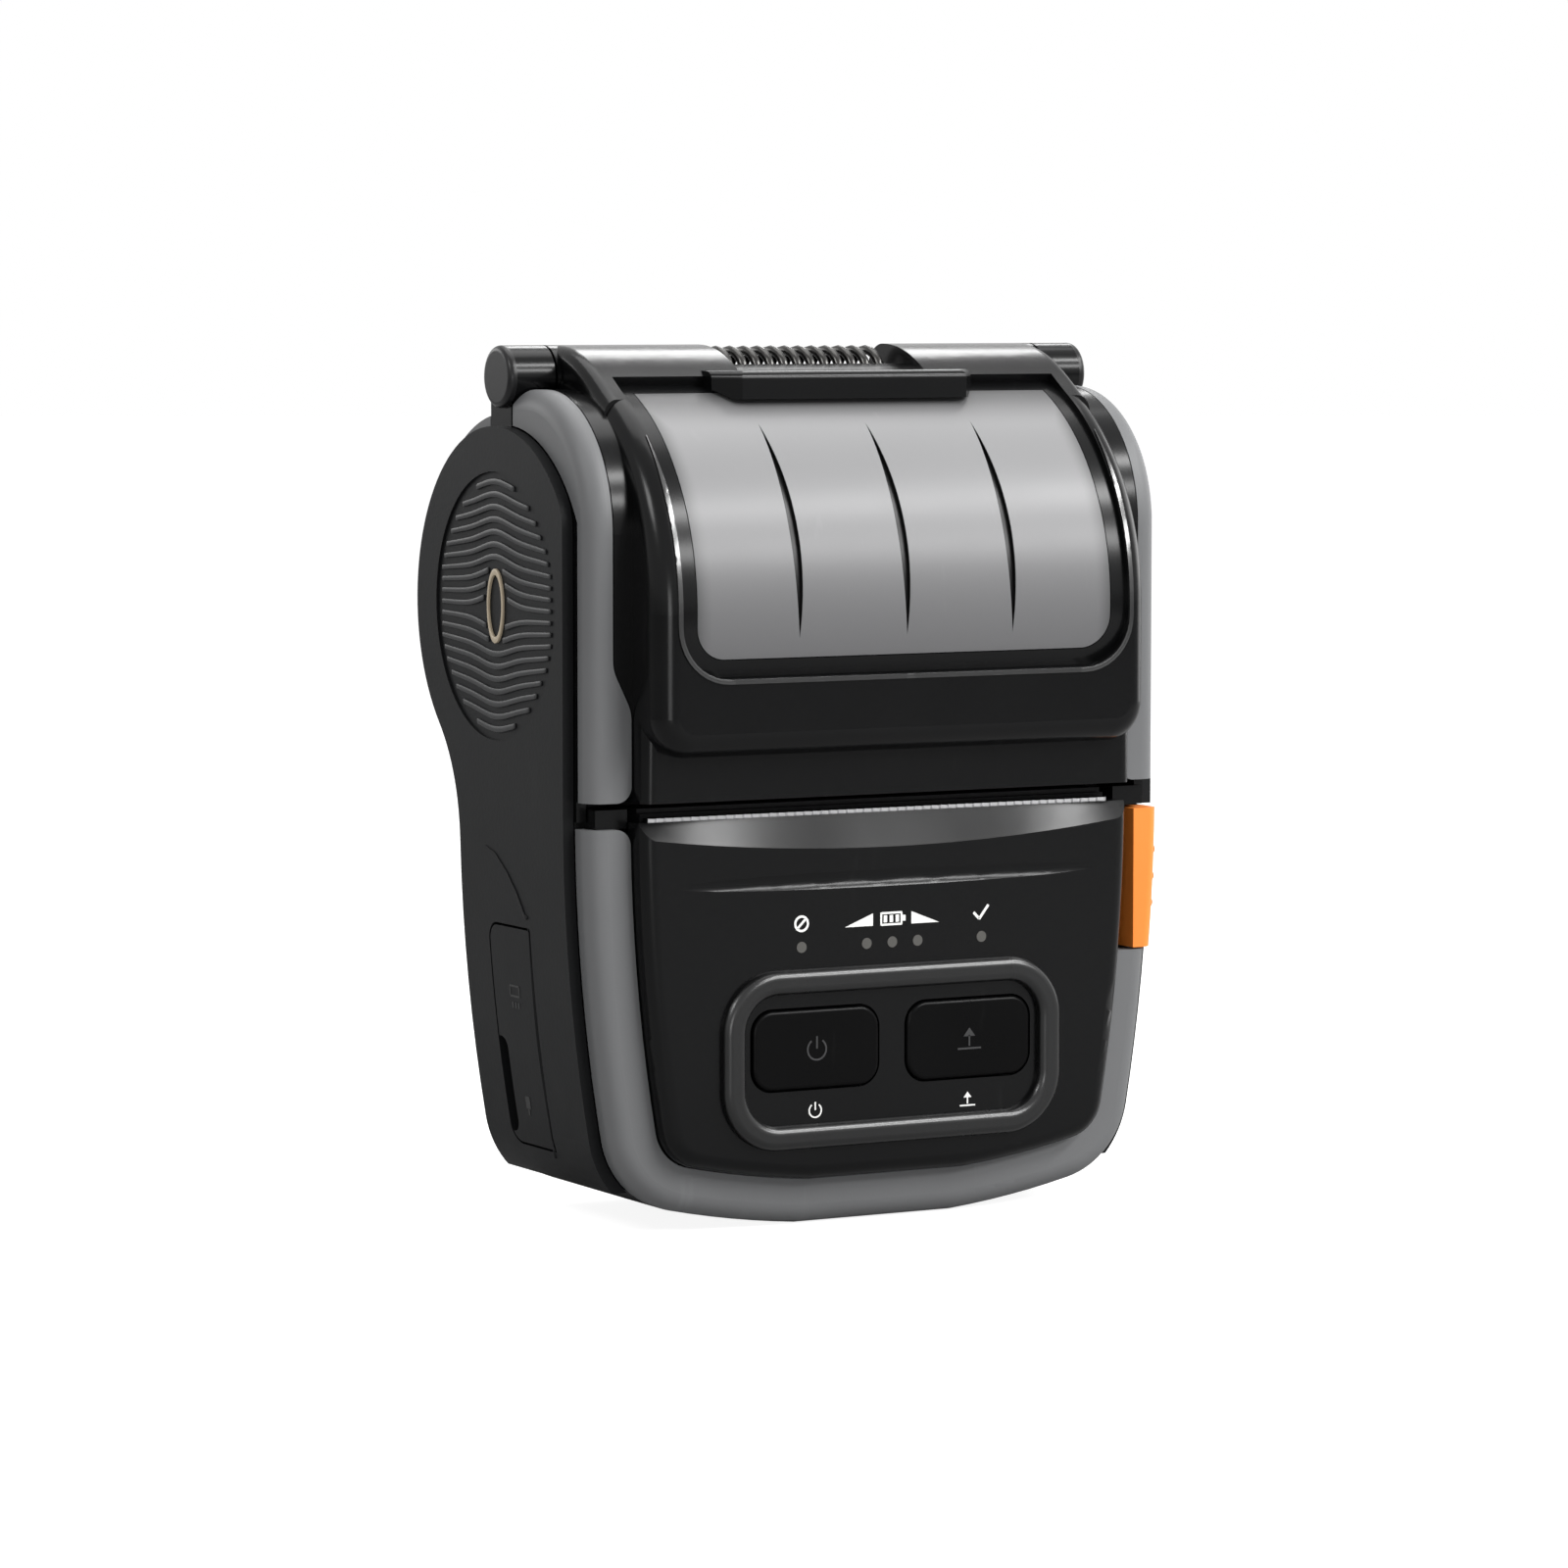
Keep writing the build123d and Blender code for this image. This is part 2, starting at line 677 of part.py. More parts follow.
def window_wedge(grow, inner_radius, outer_radius):
    """Part of a drum about the roll over the window's outline, which is made larger all round by grow."""
    ring = roll_circle(outer_radius) - roll_circle(inner_radius)
    margin = grow / window_radius
    top = radians(window_top) - margin
    bottom = radians(window_bottom) + margin
    reach = 2 * drum_radius
    fan = Polyline(
        (0, 0),
        (reach * cos(top), reach * sin(top)),
        (-reach, reach),
        (-reach, -reach),
        (reach * cos(bottom), reach * sin(bottom)),
        close=True,
    )
    wedge = ring & (Pos(roll_y, roll_z) * make_face(fan))
    half = window_half_width + grow
    low = roll_z + window_radius * sin(radians(window_bottom)) - grow
    front = span(-half, half, low, tall + past)
    front = fillet(front.vertices().sort_by(Axis.Y)[:2], window_corner + grow)
    return along_x(wedge, -half, half) & along_y(front, front_y - outer_radius, roll_y)


def lid_window():
    """Smoked window in the lid with three slim grooves that are pointed at both ends."""
    pane = window_wedge(0, window_radius - window_thickness + pad_gap, window_radius)
    half_length = (groove_high - groove_low) / 2
    half_width = groove_width / 2
    bow = (half_length ** 2 + half_width ** 2) / (2 * half_width)
    blade = (Pos(bow - half_width, 0) * Circle(bow)) & (Pos(half_width - bow, 0) * Circle(bow))
    z_mid = slot_z + (groove_high + groove_low) / 2
    cut = along_x(roll_circle(drum_radius) - roll_circle(window_radius - groove_depth), -far, far)
    for index in range(groove_count):
        x_mid = (index - (groove_count - 1) / 2) * groove_pitch
        pane -= along_y(Pos(x_mid, z_mid) * blade, front_y, roll_y) & cut
    return pane


def lid_bumper(side):
    """Grey rubber bumper along one side of the lid, narrower above its jog."""
    x_low = drum_half_width + snug_gap
    low = slot_z + slot_gap
    outer = along_x(lid_bumper_outline(0), x_low, case_half_width)
    rim = outer.edges().filter_by(Plane.YZ).filter_by(lambda e: e.center().X > case_half_width - near)
    rim = rim.filter_by(lambda e: e.center().Y < hinge_y - near)
    outer = fillet(rim.filter_by(lambda e: e.center().Z > slot_z + near), bumper_edge)
    front = span(x_low - past, case_half_width + past, low, tall) - jog_face(snug_gap)
    front = fillet(front.vertices().sort_by_distance(Vector(x_low, low, 0))[0], bumper_corner)
    outer = bumper_room(outer & along_y(front, front_y, far))
    if side < 0:
        tip = gear_module * (platen_teeth / 2 + gear_addendum) + part_gap
        outer -= rod_x(platen_y, platen_z, tip, gear_inner_face - part_gap, gear_outer_face + part_gap)
    outer -= rod_x(platen_y, platen_z, bush_radius + part_gap, 0, gear_outer_face + part_gap)
    return mirrored(outer) if side < 0 else outer


def platen_shaft():
    """Steel shaft of the roller, longer on the gear side."""
    right_end = drum_half_width + shaft_right_end
    return rod_x(platen_y, platen_z, platen_shaft_radius, -gear_outer_face, right_end)


def platen_roller():
    """Rubber sleeve pressed on the shaft."""
    sleeve = rod_x(platen_y, platen_z, platen_radius, -roll_half_width, roll_half_width)
    return sleeve - rod_x(platen_y, platen_z, platen_shaft_radius, -roll_half_width, roll_half_width)


def platen_bush(side):
    """Flanged bush in a cheek of the lid."""
    x_in = drum_half_width - cheek_wall
    bush = rod_x(platen_y, platen_z, bush_radius, x_in, drum_half_width)
    bush += rod_x(platen_y, platen_z, bush_radius + bush_flange, x_in - bush_flange_thickness, x_in)
    bore = platen_shaft_radius + shaft_play
    bush -= rod_x(platen_y, platen_z, bore, roll_half_width, drum_half_width + past)
    return mirrored(bush) if side < 0 else bush


def gear(y, z, teeth, phase, bore_radius):
    """Spur gear on the left side; phase turns its first tooth, in degrees from +Y towards +Z."""
    pitch = gear_module * teeth / 2
    tip = pitch + gear_module * gear_addendum
    root = pitch - gear_module * gear_dedendum
    step = 2 * pi / teeth
    half_pitch = step / 4 - gear_backlash / (2 * pitch)
    tip_half = half_pitch * tooth_tip_share
    root_half = half_pitch * tooth_root_share
    points = []
    for index in range(teeth):
        middle = radians(phase) + index * step
        for radius, turn in ((root, -root_half), (pitch, -half_pitch), (tip, -tip_half)):
            points.append((radius * cos(middle + turn), radius * sin(middle + turn)))
        for radius, turn in ((tip, tip_half), (pitch, half_pitch), (root, root_half)):
            points.append((radius * cos(middle + turn), radius * sin(middle + turn)))
    face = Pos(y, z) * make_face(Polyline(*points, close=True))
    wheel = along_x(face, -gear_outer_face, -gear_inner_face)
    return wheel - rod_x(y, z, bore_radius, -gear_outer_face - past, -gear_inner_face + past)


def mesh_phase(from_y, from_z, to_y, to_z):
    """Direction from one gear's axis to the next, in degrees from +Y towards +Z."""
    return degrees(atan2(to_z - from_z, to_y - from_y))


def platen_gear():
    """Gear pressed on the roller's shaft, a tooth pointing at the idler."""
    phase = mesh_phase(platen_y, platen_z, idler_y, idler_z)
    return gear(platen_y, platen_z, platen_teeth, phase, platen_shaft_radius)


def idler_phase():
    """The idler has a gap where the roller's gear has a tooth."""
    return mesh_phase(idler_y, idler_z, platen_y, platen_z) + 180 / idler_teeth


def idler_gear():
    """Gear between the motor and the roller."""
    return gear(idler_y, idler_z, idler_teeth, idler_phase(), idler_pin_radius + shaft_play)


def motor_pinion():
    """Small gear pressed on the motor's shaft, in mesh with the idler."""
    towards = mesh_phase(idler_y, idler_z, pinion_y, pinion_z)
    step = 360 / idler_teeth
    offset = (towards - idler_phase()) % step
    phase = mesh_phase(pinion_y, pinion_z, idler_y, idler_z) + 180 / pinion_teeth
    phase += offset * idler_teeth / pinion_teeth
    return gear(pinion_y, pinion_z, pinion_teeth, phase, motor_shaft_radius)


def idler_pin():
    """Fixed pin of the idler with a head that keeps it on."""
    end = -gear_outer_face - pin_head_height - pad_gap
    pin = rod_x(idler_y, idler_z, idler_pin_radius, end, -gear_plate_outer)
    return pin + rod_x(idler_y, idler_z, pin_head_radius, end, end + pin_head_height)


def gear_plate():
    """Steel plate on the left that carries the motor and the idler."""
    x_low = -gear_plate_outer
    x_high = x_low + gear_plate_thickness
    low = pinion_z - motor_radius - gear_plate_margin
    y_high = pinion_y + motor_radius + gear_plate_margin
    plate = block(x_low, x_high, idler_y - idler_margin, y_high, low, idler_z + idler_margin)
    shaft_hole = motor_shaft_radius + gear_plate_margin
    plate -= rod_x(pinion_y, pinion_z, shaft_hole, x_low - past, x_high + past)
    roller_room = platen_radius + gear_plate_margin
    return plate - rod_x(platen_y, platen_z, roller_room, x_low - past, x_high + past)


def drive_motor():
    """Can motor on the inner side of the gear plate."""
    face = -gear_plate_outer + gear_plate_thickness
    rear = face + motor_length
    can = rod_x(pinion_y, pinion_z, motor_radius, face, rear)
    can = fillet(can.edges().filter_by(GeomType.CIRCLE), motor_edge)
    can += rod_x(pinion_y, pinion_z, motor_collar_radius, rear, rear + motor_collar_height)
    bore = motor_shaft_radius + shaft_play
    return can - rod_x(pinion_y, pinion_z, bore, face - past, face + shaft_seat + past)


def motor_shaft():
    """Turning shaft of the motor, from inside its can to the end of the pinion."""
    inner_end = -gear_plate_outer + gear_plate_thickness + shaft_seat
    return rod_x(pinion_y, pinion_z, motor_shaft_radius, -gear_outer_face, inner_end)


def hinge_pin():
    """Steel pin through the five barrels of the lid's hinge."""
    return rod_x(hinge_y, hinge_z, pin_radius, -case_half_width, case_half_width)


def hinge_cap(side):
    """Domed disc over the end of the hinge."""
    disc = rod_x(hinge_y, hinge_z, barrel_radius, case_half_width, case_half_width + end_cap_thickness)
    rim = disc.edges().filter_by(GeomType.CIRCLE).sort_by(Axis.X)[-1]
    disc = fillet(rim, end_cap_rounding)
    return mirrored(disc) if side < 0 else disc


def turn_place(index, pitch, length, radius):
    """Place and direction of a right-handed coil about X after a number of half turns."""
    angle = pi * index
    rise = pitch / (2 * pi)
    place = Vector(pitch * index / 2 - length / 2, radius * cos(angle), radius * sin(angle))
    way = Vector(rise, -radius * sin(angle), radius * cos(angle))
    return place, way.normalized()


def arc_joint(start, start_way, end, end_way):
    """Point where the two arcs of one half turn meet."""
    across = end - start
    both = start_way + end_way
    spread = 2 * (1 - start_way.dot(end_way))
    along = across.dot(both)
    reach = (sqrt(along ** 2 + spread * across.dot(across)) - along) / spread
    return (start + end + (start_way - end_way) * reach) / 2


def coil(name, length, half_turns, radius, wire_radius, leg):
    """One wire wound right-handed about X, its two ends leading off straight."""
    pitch = 2 * length / half_turns
    arcs = []
    for index in range(half_turns):
        start, start_way = turn_place(index, pitch, length, radius)
        end, end_way = turn_place(index + 1, pitch, length, radius)
        middle = arc_joint(start, start_way, end, end_way)
        arcs.append(Edge.make_tangent_arc(start, start_way, middle))
        arcs.append(Edge.make_tangent_arc(end, end_way * -1, middle))
    first, first_way = turn_place(0, pitch, length, radius)
    last, last_way = turn_place(half_turns, pitch, length, radius)
    first_leg = Edge.make_line(first - first_way * leg, first)
    last_leg = Edge.make_line(last, last + last_way * leg)
    path = Wire([first_leg] + arcs + [last_leg])
    print_own_gap(name, path, 2 * pi * radius, wire_radius)
    section = Plane(origin=path @ 0, z_dir=path % 0) * Circle(wire_radius)
    return sweep(section, path=path)


def print_own_gap(name, path, turn_length, wire_radius):
    """Measures on points how near the wire's turns come to each other."""
    count = round(path.length / gap_step)
    points = [path @ (index / count) for index in range(count + 1)]
    apart = round(turn_length / 2 / gap_step)
    least = min(
        (points[later] - point).length
        for index, point in enumerate(points)
        for later in range(index + apart, min(index + 4 * apart, count + 1))
    )
    print(name, "least gap to itself", round(least - 2 * wire_radius, 3), "mm")


def hinge_spring():
    """Wound spring round the hinge pin that lifts the lid."""
    length = 2 * spring_half_length
    wound = coil("hinge_spring", length, spring_half_turns, spring_mean_radius, spring_wire_radius, spring_leg)
    return Pos(0, hinge_y, hinge_z) * wound


def lower_bumper():
    """Grey rubber bumper round the sides and the foot of the front case, cut short under the release button."""
    top = slot_z - bumper_drop - snug_gap
    ring = along_y(front_outline(0), button_face_y, split_y - flange_edge - snug_gap)
    rim = ring.edges().filter_by(Plane.XZ).filter_by(lambda e: abs(e.center().Y - button_face_y) < near)
    ring = fillet(rim.filter_by(lambda e: e.center().Z < slot_z + past), bumper_edge)
    inner_x = case_half_width - panel_inset + snug_gap
    ring -= along_y(front_outline(panel_inset - snug_gap), front_y, split_y)
    ring -= along_y(front_outline(bumper_lap), split_y - flange_depth - snug_gap, split_y)
    ring -= block(-far, far, front_y, split_y, top, tall)
    button_low = slot_z - release_bottom_drop - slide_gap
    ring -= block(inner_x - past, far, front_y, split_y, button_low, tall)
    inner_edge = ring.edges().filter_by(Axis.Y).sort_by_distance(Vector(-inner_x, button_face_y, top))[0]
    return fillet(inner_edge, bumper_corner)


def front_case():
    """Black front shell: control panel in front, flange behind it, open at the back."""
    top = slot_z - lip_drop
    panel = along_y(front_outline(panel_inset), panel_y, split_y)
    rim = panel.edges().filter_by(Plane.XZ).filter_by(lambda e: e.center().Y < panel_y + near)
    panel = fillet(rim.filter_by(lambda e: e.center().Z < slot_z), panel_edge)
    flange = along_y(front_outline(bumper_lap + snug_gap), split_y - flange_depth, split_y)
    flange += along_y(front_outline(0), split_y - flange_edge, split_y)
    shell = (panel + flange) & block(-far, far, front_y, back_y, case_bottom, top)
    for side in (-1, 1):
        shell += shoulder(side)
    shell += spring_cup()
    cavity = along_y(front_outline(panel_inset + panel_wall), panel_y + panel_wall, split_y + past)
    shell -= cavity & block(-far, spring_cup_x, front_y, back_y, case_bottom, top - panel_wall)
    shell += spring_cup()
    shell -= rod_x(release_spring_y, release_spring_z, release_cup_radius, spring_cup_x, case_half_width)
    for x_mid in (-key_spread, key_spread):
        shell -= key_block(x_mid, slide_gap, front_y, panel_y + panel_wall + past)
    for x_mid in lamp_places():
        hole = lamp_radius + lamp_play
        shell -= rod_y(x_mid, slot_z - lamp_drop, hole, front_y, panel_y + 2 * panel_wall)
    shell -= release_room(slide_gap)
    head_low = sink_top - heat_sink_thickness - head_room_gap
    shell -= block(-drum_half_width, drum_half_width, head_front_y - snug_gap, split_y + past, head_low, tall)
    shell -= slot_facet()
    shell -= panel_crease()
    boss_area = along_y(front_outline(bumper_lap + snug_gap), split_y - flange_depth, split_y)
    for x_mid, z_mid in screw_places():
        shell += rod_y(x_mid, z_mid, screw_boss_radius, split_y - flange_depth, split_y) & boss_area
        shell -= rod_y(x_mid, z_mid, screw_shank_radius, split_y - screw_bite, split_y + past)
    return shell


def shoulder(side):
    """Shoulder beside the paper slot, between the lid's bumper and the lower bumper."""
    low = slot_z - bumper_drop - snug_gap
    outer = inner_half_width - snug_gap
    front = button_face_y + shoulder_setback
    body = block(drum_half_width, outer, front, split_y, low, slot_z + shoulder_rise)
    return mirrored(body) if side < 0 else body


def spring_cup():
    """Boss inside the right wall of the panel that holds the release button's spring."""
    reach = release_cup_radius + spring_cup_wall
    x_high = case_half_width - panel_inset - panel_wall / 4
    cup = rod_x(release_spring_y, release_spring_z, reach, spring_cup_x - spring_cup_wall, x_high)
    return cup & block(0, far, panel_y, split_y, case_bottom, slot_z)


def slot_facet():
    """Slanted cut under the paper slot, deepest in the middle."""
    top = slot_z + past
    half = drum_half_width + snug_gap
    sections = []
    for x_mid, drop in ((-half, facet_end_drop), (0, facet_middle_drop), (half, facet_end_drop)):
        low = slot_z - drop
        corner_y = panel_y + facet_depth * (top - low) / drop
        outline = Polyline(
            (panel_y - past, top),
            (panel_y - past, low),
            (panel_y, low),
            (corner_y, top),
            close=True,
        )
        sections.append(Plane.YZ.offset(x_mid) * make_face(outline))
    return loft(sections)


def panel_crease():
    """Long shallow crease across the panel under the slot, deepest in the middle and fading to its ends."""
    bend = crease_half ** 2 / (2 * crease_depth)
    middle_y = panel_y + crease_depth - bend - crease_radius
    ring = Pos(0, middle_y, slot_z - crease_drop) * Torus(bend, crease_radius)
    return ring & block(-drum_half_width, drum_half_width, front_y, panel_y + past, case_bottom, slot_z)


def lamp_places():
    """X places of the five lamps."""
    places = [-lamp_spread, lamp_spread]
    places += [index * battery_lamp_pitch for index in (-1, 0, 1)]
    return places


def status_lenses():
    """Five light pipes from the board to the panel."""
    pipes = []
    for x_mid in lamp_places():
        end_y = board_front_y - snug_gap
        pipes.append(rod_y(x_mid, slot_z - lamp_drop, lamp_radius, panel_y - lamp_proud, end_y))
    return Compound(children=pipes)


def key_block(x_mid, grow, y_low, y_high):
    """Rounded block of a key, made larger all round by grow."""
    face = RectangleRounded(key_width + 2 * grow, key_tall + 2 * grow, key_corner + grow)
    return along_y(Pos(x_mid, slot_z - key_drop) * face, y_low, y_high)


def key_button(x_mid):
    """Key with a flange behind the panel and a stem that presses a dome."""
    face_y = panel_y - key_proud
    seat_y = panel_y + panel_wall + slide_gap
    cap = key_block(x_mid, 0, face_y, seat_y + key_flange_thickness)
    rim = cap.edges().filter_by(Plane.XZ).filter_by(lambda e: e.center().Y < face_y + near)
    cap = fillet(rim, key_edge)
    cap += key_block(x_mid, key_flange, seat_y, seat_y + key_flange_thickness)
    stem_end = board_front_y - dome_height - key_travel - touch_gap
    return cap + rod_y(x_mid, slot_z - key_drop, dome_tip_radius, seat_y, stem_end)


def dome_switches():
    """Two snap domes on the board behind the keys."""
    domes = []
    for x_mid in (-key_spread, key_spread):
        z_mid = slot_z - key_drop
        foot = rod_y(x_mid, z_mid, dome_radius, board_front_y - dome_foot_height, board_front_y)
        tip = rod_y(x_mid, z_mid, dome_tip_radius, board_front_y - dome_height, board_front_y)
        domes.append(foot + tip)
    return Compound(children=domes)


def keypad_bezel():
    """Raised glossy ring round the two keys."""
    outer = RectangleRounded(bezel_width, bezel_tall, bezel_corner)
    inside = 2 * bezel_ring
    inner = RectangleRounded(bezel_width - inside, bezel_tall - inside, bezel_corner - bezel_ring)
    face_y = panel_y - bezel_proud
    ring = along_y(Pos(0, slot_z - bezel_drop) * (outer - inner), face_y, panel_y)
    rim = ring.edges().filter_by(Plane.XZ).filter_by(lambda e: e.center().Y < face_y + near)
    return fillet(rim, bezel_edge)


def release_room(grow):
    """Space of the release button and its travel, made larger by grow."""
    return block(
        case_half_width - release_thickness - release_travel - grow,
        far,
        front_y,
        button_face_y + release_depth + grow,
        slot_z - release_bottom_drop - grow,
        slot_z - release_top_drop + grow,
    )


def release_button():
    """Button with grip ribs on the right, pressed towards the middle, with a stud that pushes the latch."""
    low_z = slot_z - release_bottom_drop
    high_z = slot_z - release_top_drop
    inner = case_half_width - release_thickness
    rear = button_face_y + release_depth
    bowed = along_y(front_outline(-release_proud), button_face_y, rear)
    cap = bowed & block(inner, far, button_face_y, rear, low_z, high_z)
    edge = cap.edges().filter_by(lambda e: e.center().X > inner + past and e.center().Y < button_face_y + near)
    cap = fillet(edge.filter_by(lambda e: low_z + past < e.center().Z < high_z - past), release_edge)
    for index in range(release_rib_count):
        z_mid = (low_z + high_z) / 2 + (index - (release_rib_count - 1) / 2) * release_rib_pitch
        lean = (slot_z - z_mid) ** 2 / (2 * side_bow_radius)
        rib_x = case_half_width + release_proud - lean - release_rib_sink
        cap += rod_y(rib_x, z_mid, release_rib_radius, button_face_y + release_edge, rear)
    high = latch_pivot_z - latch_lever_length
    low = high - release_stud
    stud_y = latch_front_y + latch_thickness - release_stud_inset
    return cap + block(latch_outer_x + pad_gap, inner + past, stud_y - release_stud_length, stud_y, low, high)


def latch_lever():
    """Lever on the right whose nose holds the lid and whose foot the button pushes."""
    y_low = latch_front_y
    y_high = y_low + latch_thickness
    nose_x = drum_half_width + latch_clearance
    low = slot_z - latch_low_drop
    lever = block(latch_outer_x - latch_arm, latch_outer_x, y_low, y_high, low, latch_pivot_z)
    lever += block(nose_x, nose_x + latch_arm, y_low, y_high, latch_pivot_z, slot_z + latch_nose_above_slot)
    lever += rod_y(latch_pin_x, latch_pivot_z, latch_boss_radius, y_low, y_high)
    return lever - rod_y(latch_pin_x, latch_pivot_z, latch_pin_radius + shaft_play, y_low - past, y_high + past)


def latch_pin():
    """Pivot pin of the latch, held in a lug of the rear shell."""
    y_high = latch_front_y + latch_thickness + lug_gap + lug_thickness
    return rod_y(latch_pin_x, latch_pivot_z, latch_pin_radius, latch_front_y - touch_gap, y_high)


def rear_shell():
    """Black rear shell: round round the roll above, box for the battery below, hinge barrels on top."""
    front = front_y + parting_setback
    top = slot_z - lip_drop
    upper_zone = block(-far, far, -far, far, top, tall)
    lower_zone = block(-far, far, -far, far, case_bottom, top)
    inner_radius = shell_radius - shell_wall
    shell = body_core(shell_radius, front, 0) & upper_zone
    shell += body_core(shell_radius, split_y + snug_gap, 0) & lower_zone
    shell -= body_core(inner_radius, front + shell_wall, shell_wall)
    shell -= body_core(inner_radius, split_y, shell_wall) & lower_zone
    mouth = drum_half_width + snug_gap
    shell -= block(-mouth, mouth, front - past, roll_y - mouth_front, top - past, tall)
    swing_y = platen_y + swing_depth
    swing_top = slot_z + swing_height
    shell -= block(-inner_half_width, inner_half_width, front - past, swing_y, top - past, swing_top)
    shell += hinge_cradle()
    for side in (-1, 1):
        shell += body_barrel(side)
    shell -= battery_door()
    shell -= release_room(slide_gap)
    shell += latch_lug()
    for x_mid, z_mid in screw_places():
        post = rod_y(x_mid, z_mid, screw_boss_radius, split_y + snug_gap, back_y - shell_wall / 2)
        shell += post & body_core(shell_radius, split_y + snug_gap, shell_wall / 2)
        shell -= rod_y(x_mid, z_mid, screw_shank_radius + screw_play, split_y - past, back_y + past)
        shell -= rod_y(x_mid, z_mid, screw_head_radius + snug_gap, screw_seat_y, back_y + past)
    shell += clip_lugs()
    return shell - door_block(shell_wall + socket_floor, far, -door_rebate)


def body_barrel(side):
    """Outer barrel of the hinge on the body, on a neck that rises from the round back."""
    barrel = rod_x(hinge_y, hinge_z, barrel_radius, body_barrel_inner, case_half_width)
    low = roll_z + shell_radius - neck_root
    neck_x = body_barrel_inner + neck_inset
    barrel += block(neck_x, case_half_width, hinge_y - neck_front, hinge_y + neck_back, low, hinge_z)
    barrel -= along_x(roll_circle(shell_radius - shell_wall), 0, case_half_width)
    barrel -= rod_x(hinge_y, hinge_z, pin_radius, 0, case_half_width)
    return mirrored(barrel) if side < 0 else barrel


def hinge_cradle():
    """Hollow ledge on the round back that closes the gap under the lid's barrels."""
    low = roll_z + shell_radius - neck_root
    high = hinge_z - cradle_drop
    face = span(hinge_y - cradle_front, hinge_y + neck_back, low, high)
    face -= Pos(hinge_y, hinge_z) * Circle(barrel_radius + barrel_gap)
    face -= roll_circle(shell_radius - shell_wall)
    cradle = along_x(face, -case_half_width, case_half_width)
    return cradle - rod_x(hinge_y, hinge_z, spring_swing, -lid_barrel_inner, lid_barrel_inner)


def battery_door():
    """Opening in the back for the battery, with a scoop for a finger above it."""
    half = battery_half_width + slide_gap
    low = battery_foot - slide_gap
    high = slot_z - battery_top_drop + slide_gap
    opening = block(-half, half, back_y - shell_wall - past, back_y + past, low, high)
    reach = finger_scoop_half_width
    scoop = rod_x(back_y + finger_scoop_out, high, finger_scoop_radius, -reach, reach)
    return opening + (scoop & block(-far, far, back_y - scoop_depth, far, high - past, tall))


def latch_lug():
    """Lug behind the latch that holds its pin, joined to the shell's right wall."""
    y_low = latch_front_y + latch_thickness + lug_gap
    low = latch_pivot_z - latch_boss_radius
    high = latch_pivot_z + latch_boss_radius
    y_high = y_low + lug_thickness
    x_high = case_half_width - shell_wall / 2
    lug = block(latch_pin_x - latch_boss_radius, x_high, y_low, y_high, low, high)
    return lug - rod_y(latch_pin_x, latch_pivot_z, latch_pin_radius, y_low - past, y_high + past)


def screw_places():
    """X and Z of the four case screws on the back."""
    heights = (slot_z - screw_top_drop, screw_foot)
    return [(side * screw_spread, height) for height in heights for side in (-1, 1)]


def case_screws():
    """Four long screws that hold the rear shell to the front case."""
    tip_y = split_y - screw_bite
    head_end = screw_seat_y + screw_head_height
    slot_y = head_end - screw_slot_depth
    screws = []
    for x_mid, z_mid in screw_places():
        screw = rod_y(x_mid, z_mid, screw_head_radius, screw_seat_y, head_end)
        screw += rod_y(x_mid, z_mid, screw_shank_radius, tip_y, screw_seat_y)
        reach = screw_head_radius * screw_slot_share
        half = screw_slot / 2
        screw -= block(x_mid - reach, x_mid + reach, slot_y, head_end + past, z_mid - half, z_mid + half)
        screw -= block(x_mid - half, x_mid + half, slot_y, head_end + past, z_mid - reach, z_mid + reach)
        screws.append(screw)
    return Compound(children=screws)


def side_skin(outer, inner, front):
    """Skin that lies over the right side of the body between two insets."""
    skin = along_y(front_outline(-outer), front, roll_y + cover_radius)
    skin -= along_y(front_outline(-inner), front - past, roll_y + cover_radius + past)
    return skin & block(skin_end_x, far, -far, far, case_bottom, tall)


def side_cover(side):
    """Dark side cover with a round patch; the left one is open for the connectors."""
    front = front_y + cover_setback
    skin = side_skin(cover_outer, side_cover_gap, front)
    face = side_outline(cover_radius, front, 0)
    nose = Vector(front, roll_z + sqrt(cover_radius ** 2 - (front - roll_y) ** 2), 0)
    face = fillet(face.vertices().sort_by_distance(nose)[0], cover_nose_radius)
    skin = skin & along_x(face, 0, far)
    skin = skin & block(0, far, -far, far, lower_corner_radius * cover_foot_share, tall)
    patch_x = case_half_width + cover_outer - rib_patch_depth
    skin -= rod_x(roll_y, roll_z, rib_patch_radius, patch_x, patch_x + past)
    if side < 0:
        open_skin = mirrored(skin) - door_block(socket_floor, far, door_gap)
        return open_skin - door_pins(door_pin_radius + shaft_play, door_pin_reach + snug_gap)
    return skin - release_room(slide_gap)


def door_outline(grow):
    """Side view of the connector door, square along its hinge in front and round behind."""
    y_low = front_y + door_front_setback - grow
    y_high = front_y + door_front_setback + door_width + grow
    face = span(y_low, y_high, door_foot - grow, slot_z - door_top_drop + grow)
    corners = face.vertices().sort_by(Axis.X)
    face = fillet(corners[:2], door_front_corner)
    rear = face.vertices().filter_by(lambda v: v.X > y_high - near)
    return fillet(rear, door_corner + grow)


def door_block(inward, outward, grow):
    """Space that the connector door covers, through the left side from inward of it to outward."""
    return along_x(door_outline(grow), -case_half_width - outward, -case_half_width + inward)


def case_side_x(z_height):
    """X of the case's right side at a height below the slot."""
    return case_half_width - side_bow_radius + sqrt(side_bow_radius ** 2 - (slot_z - z_height) ** 2)


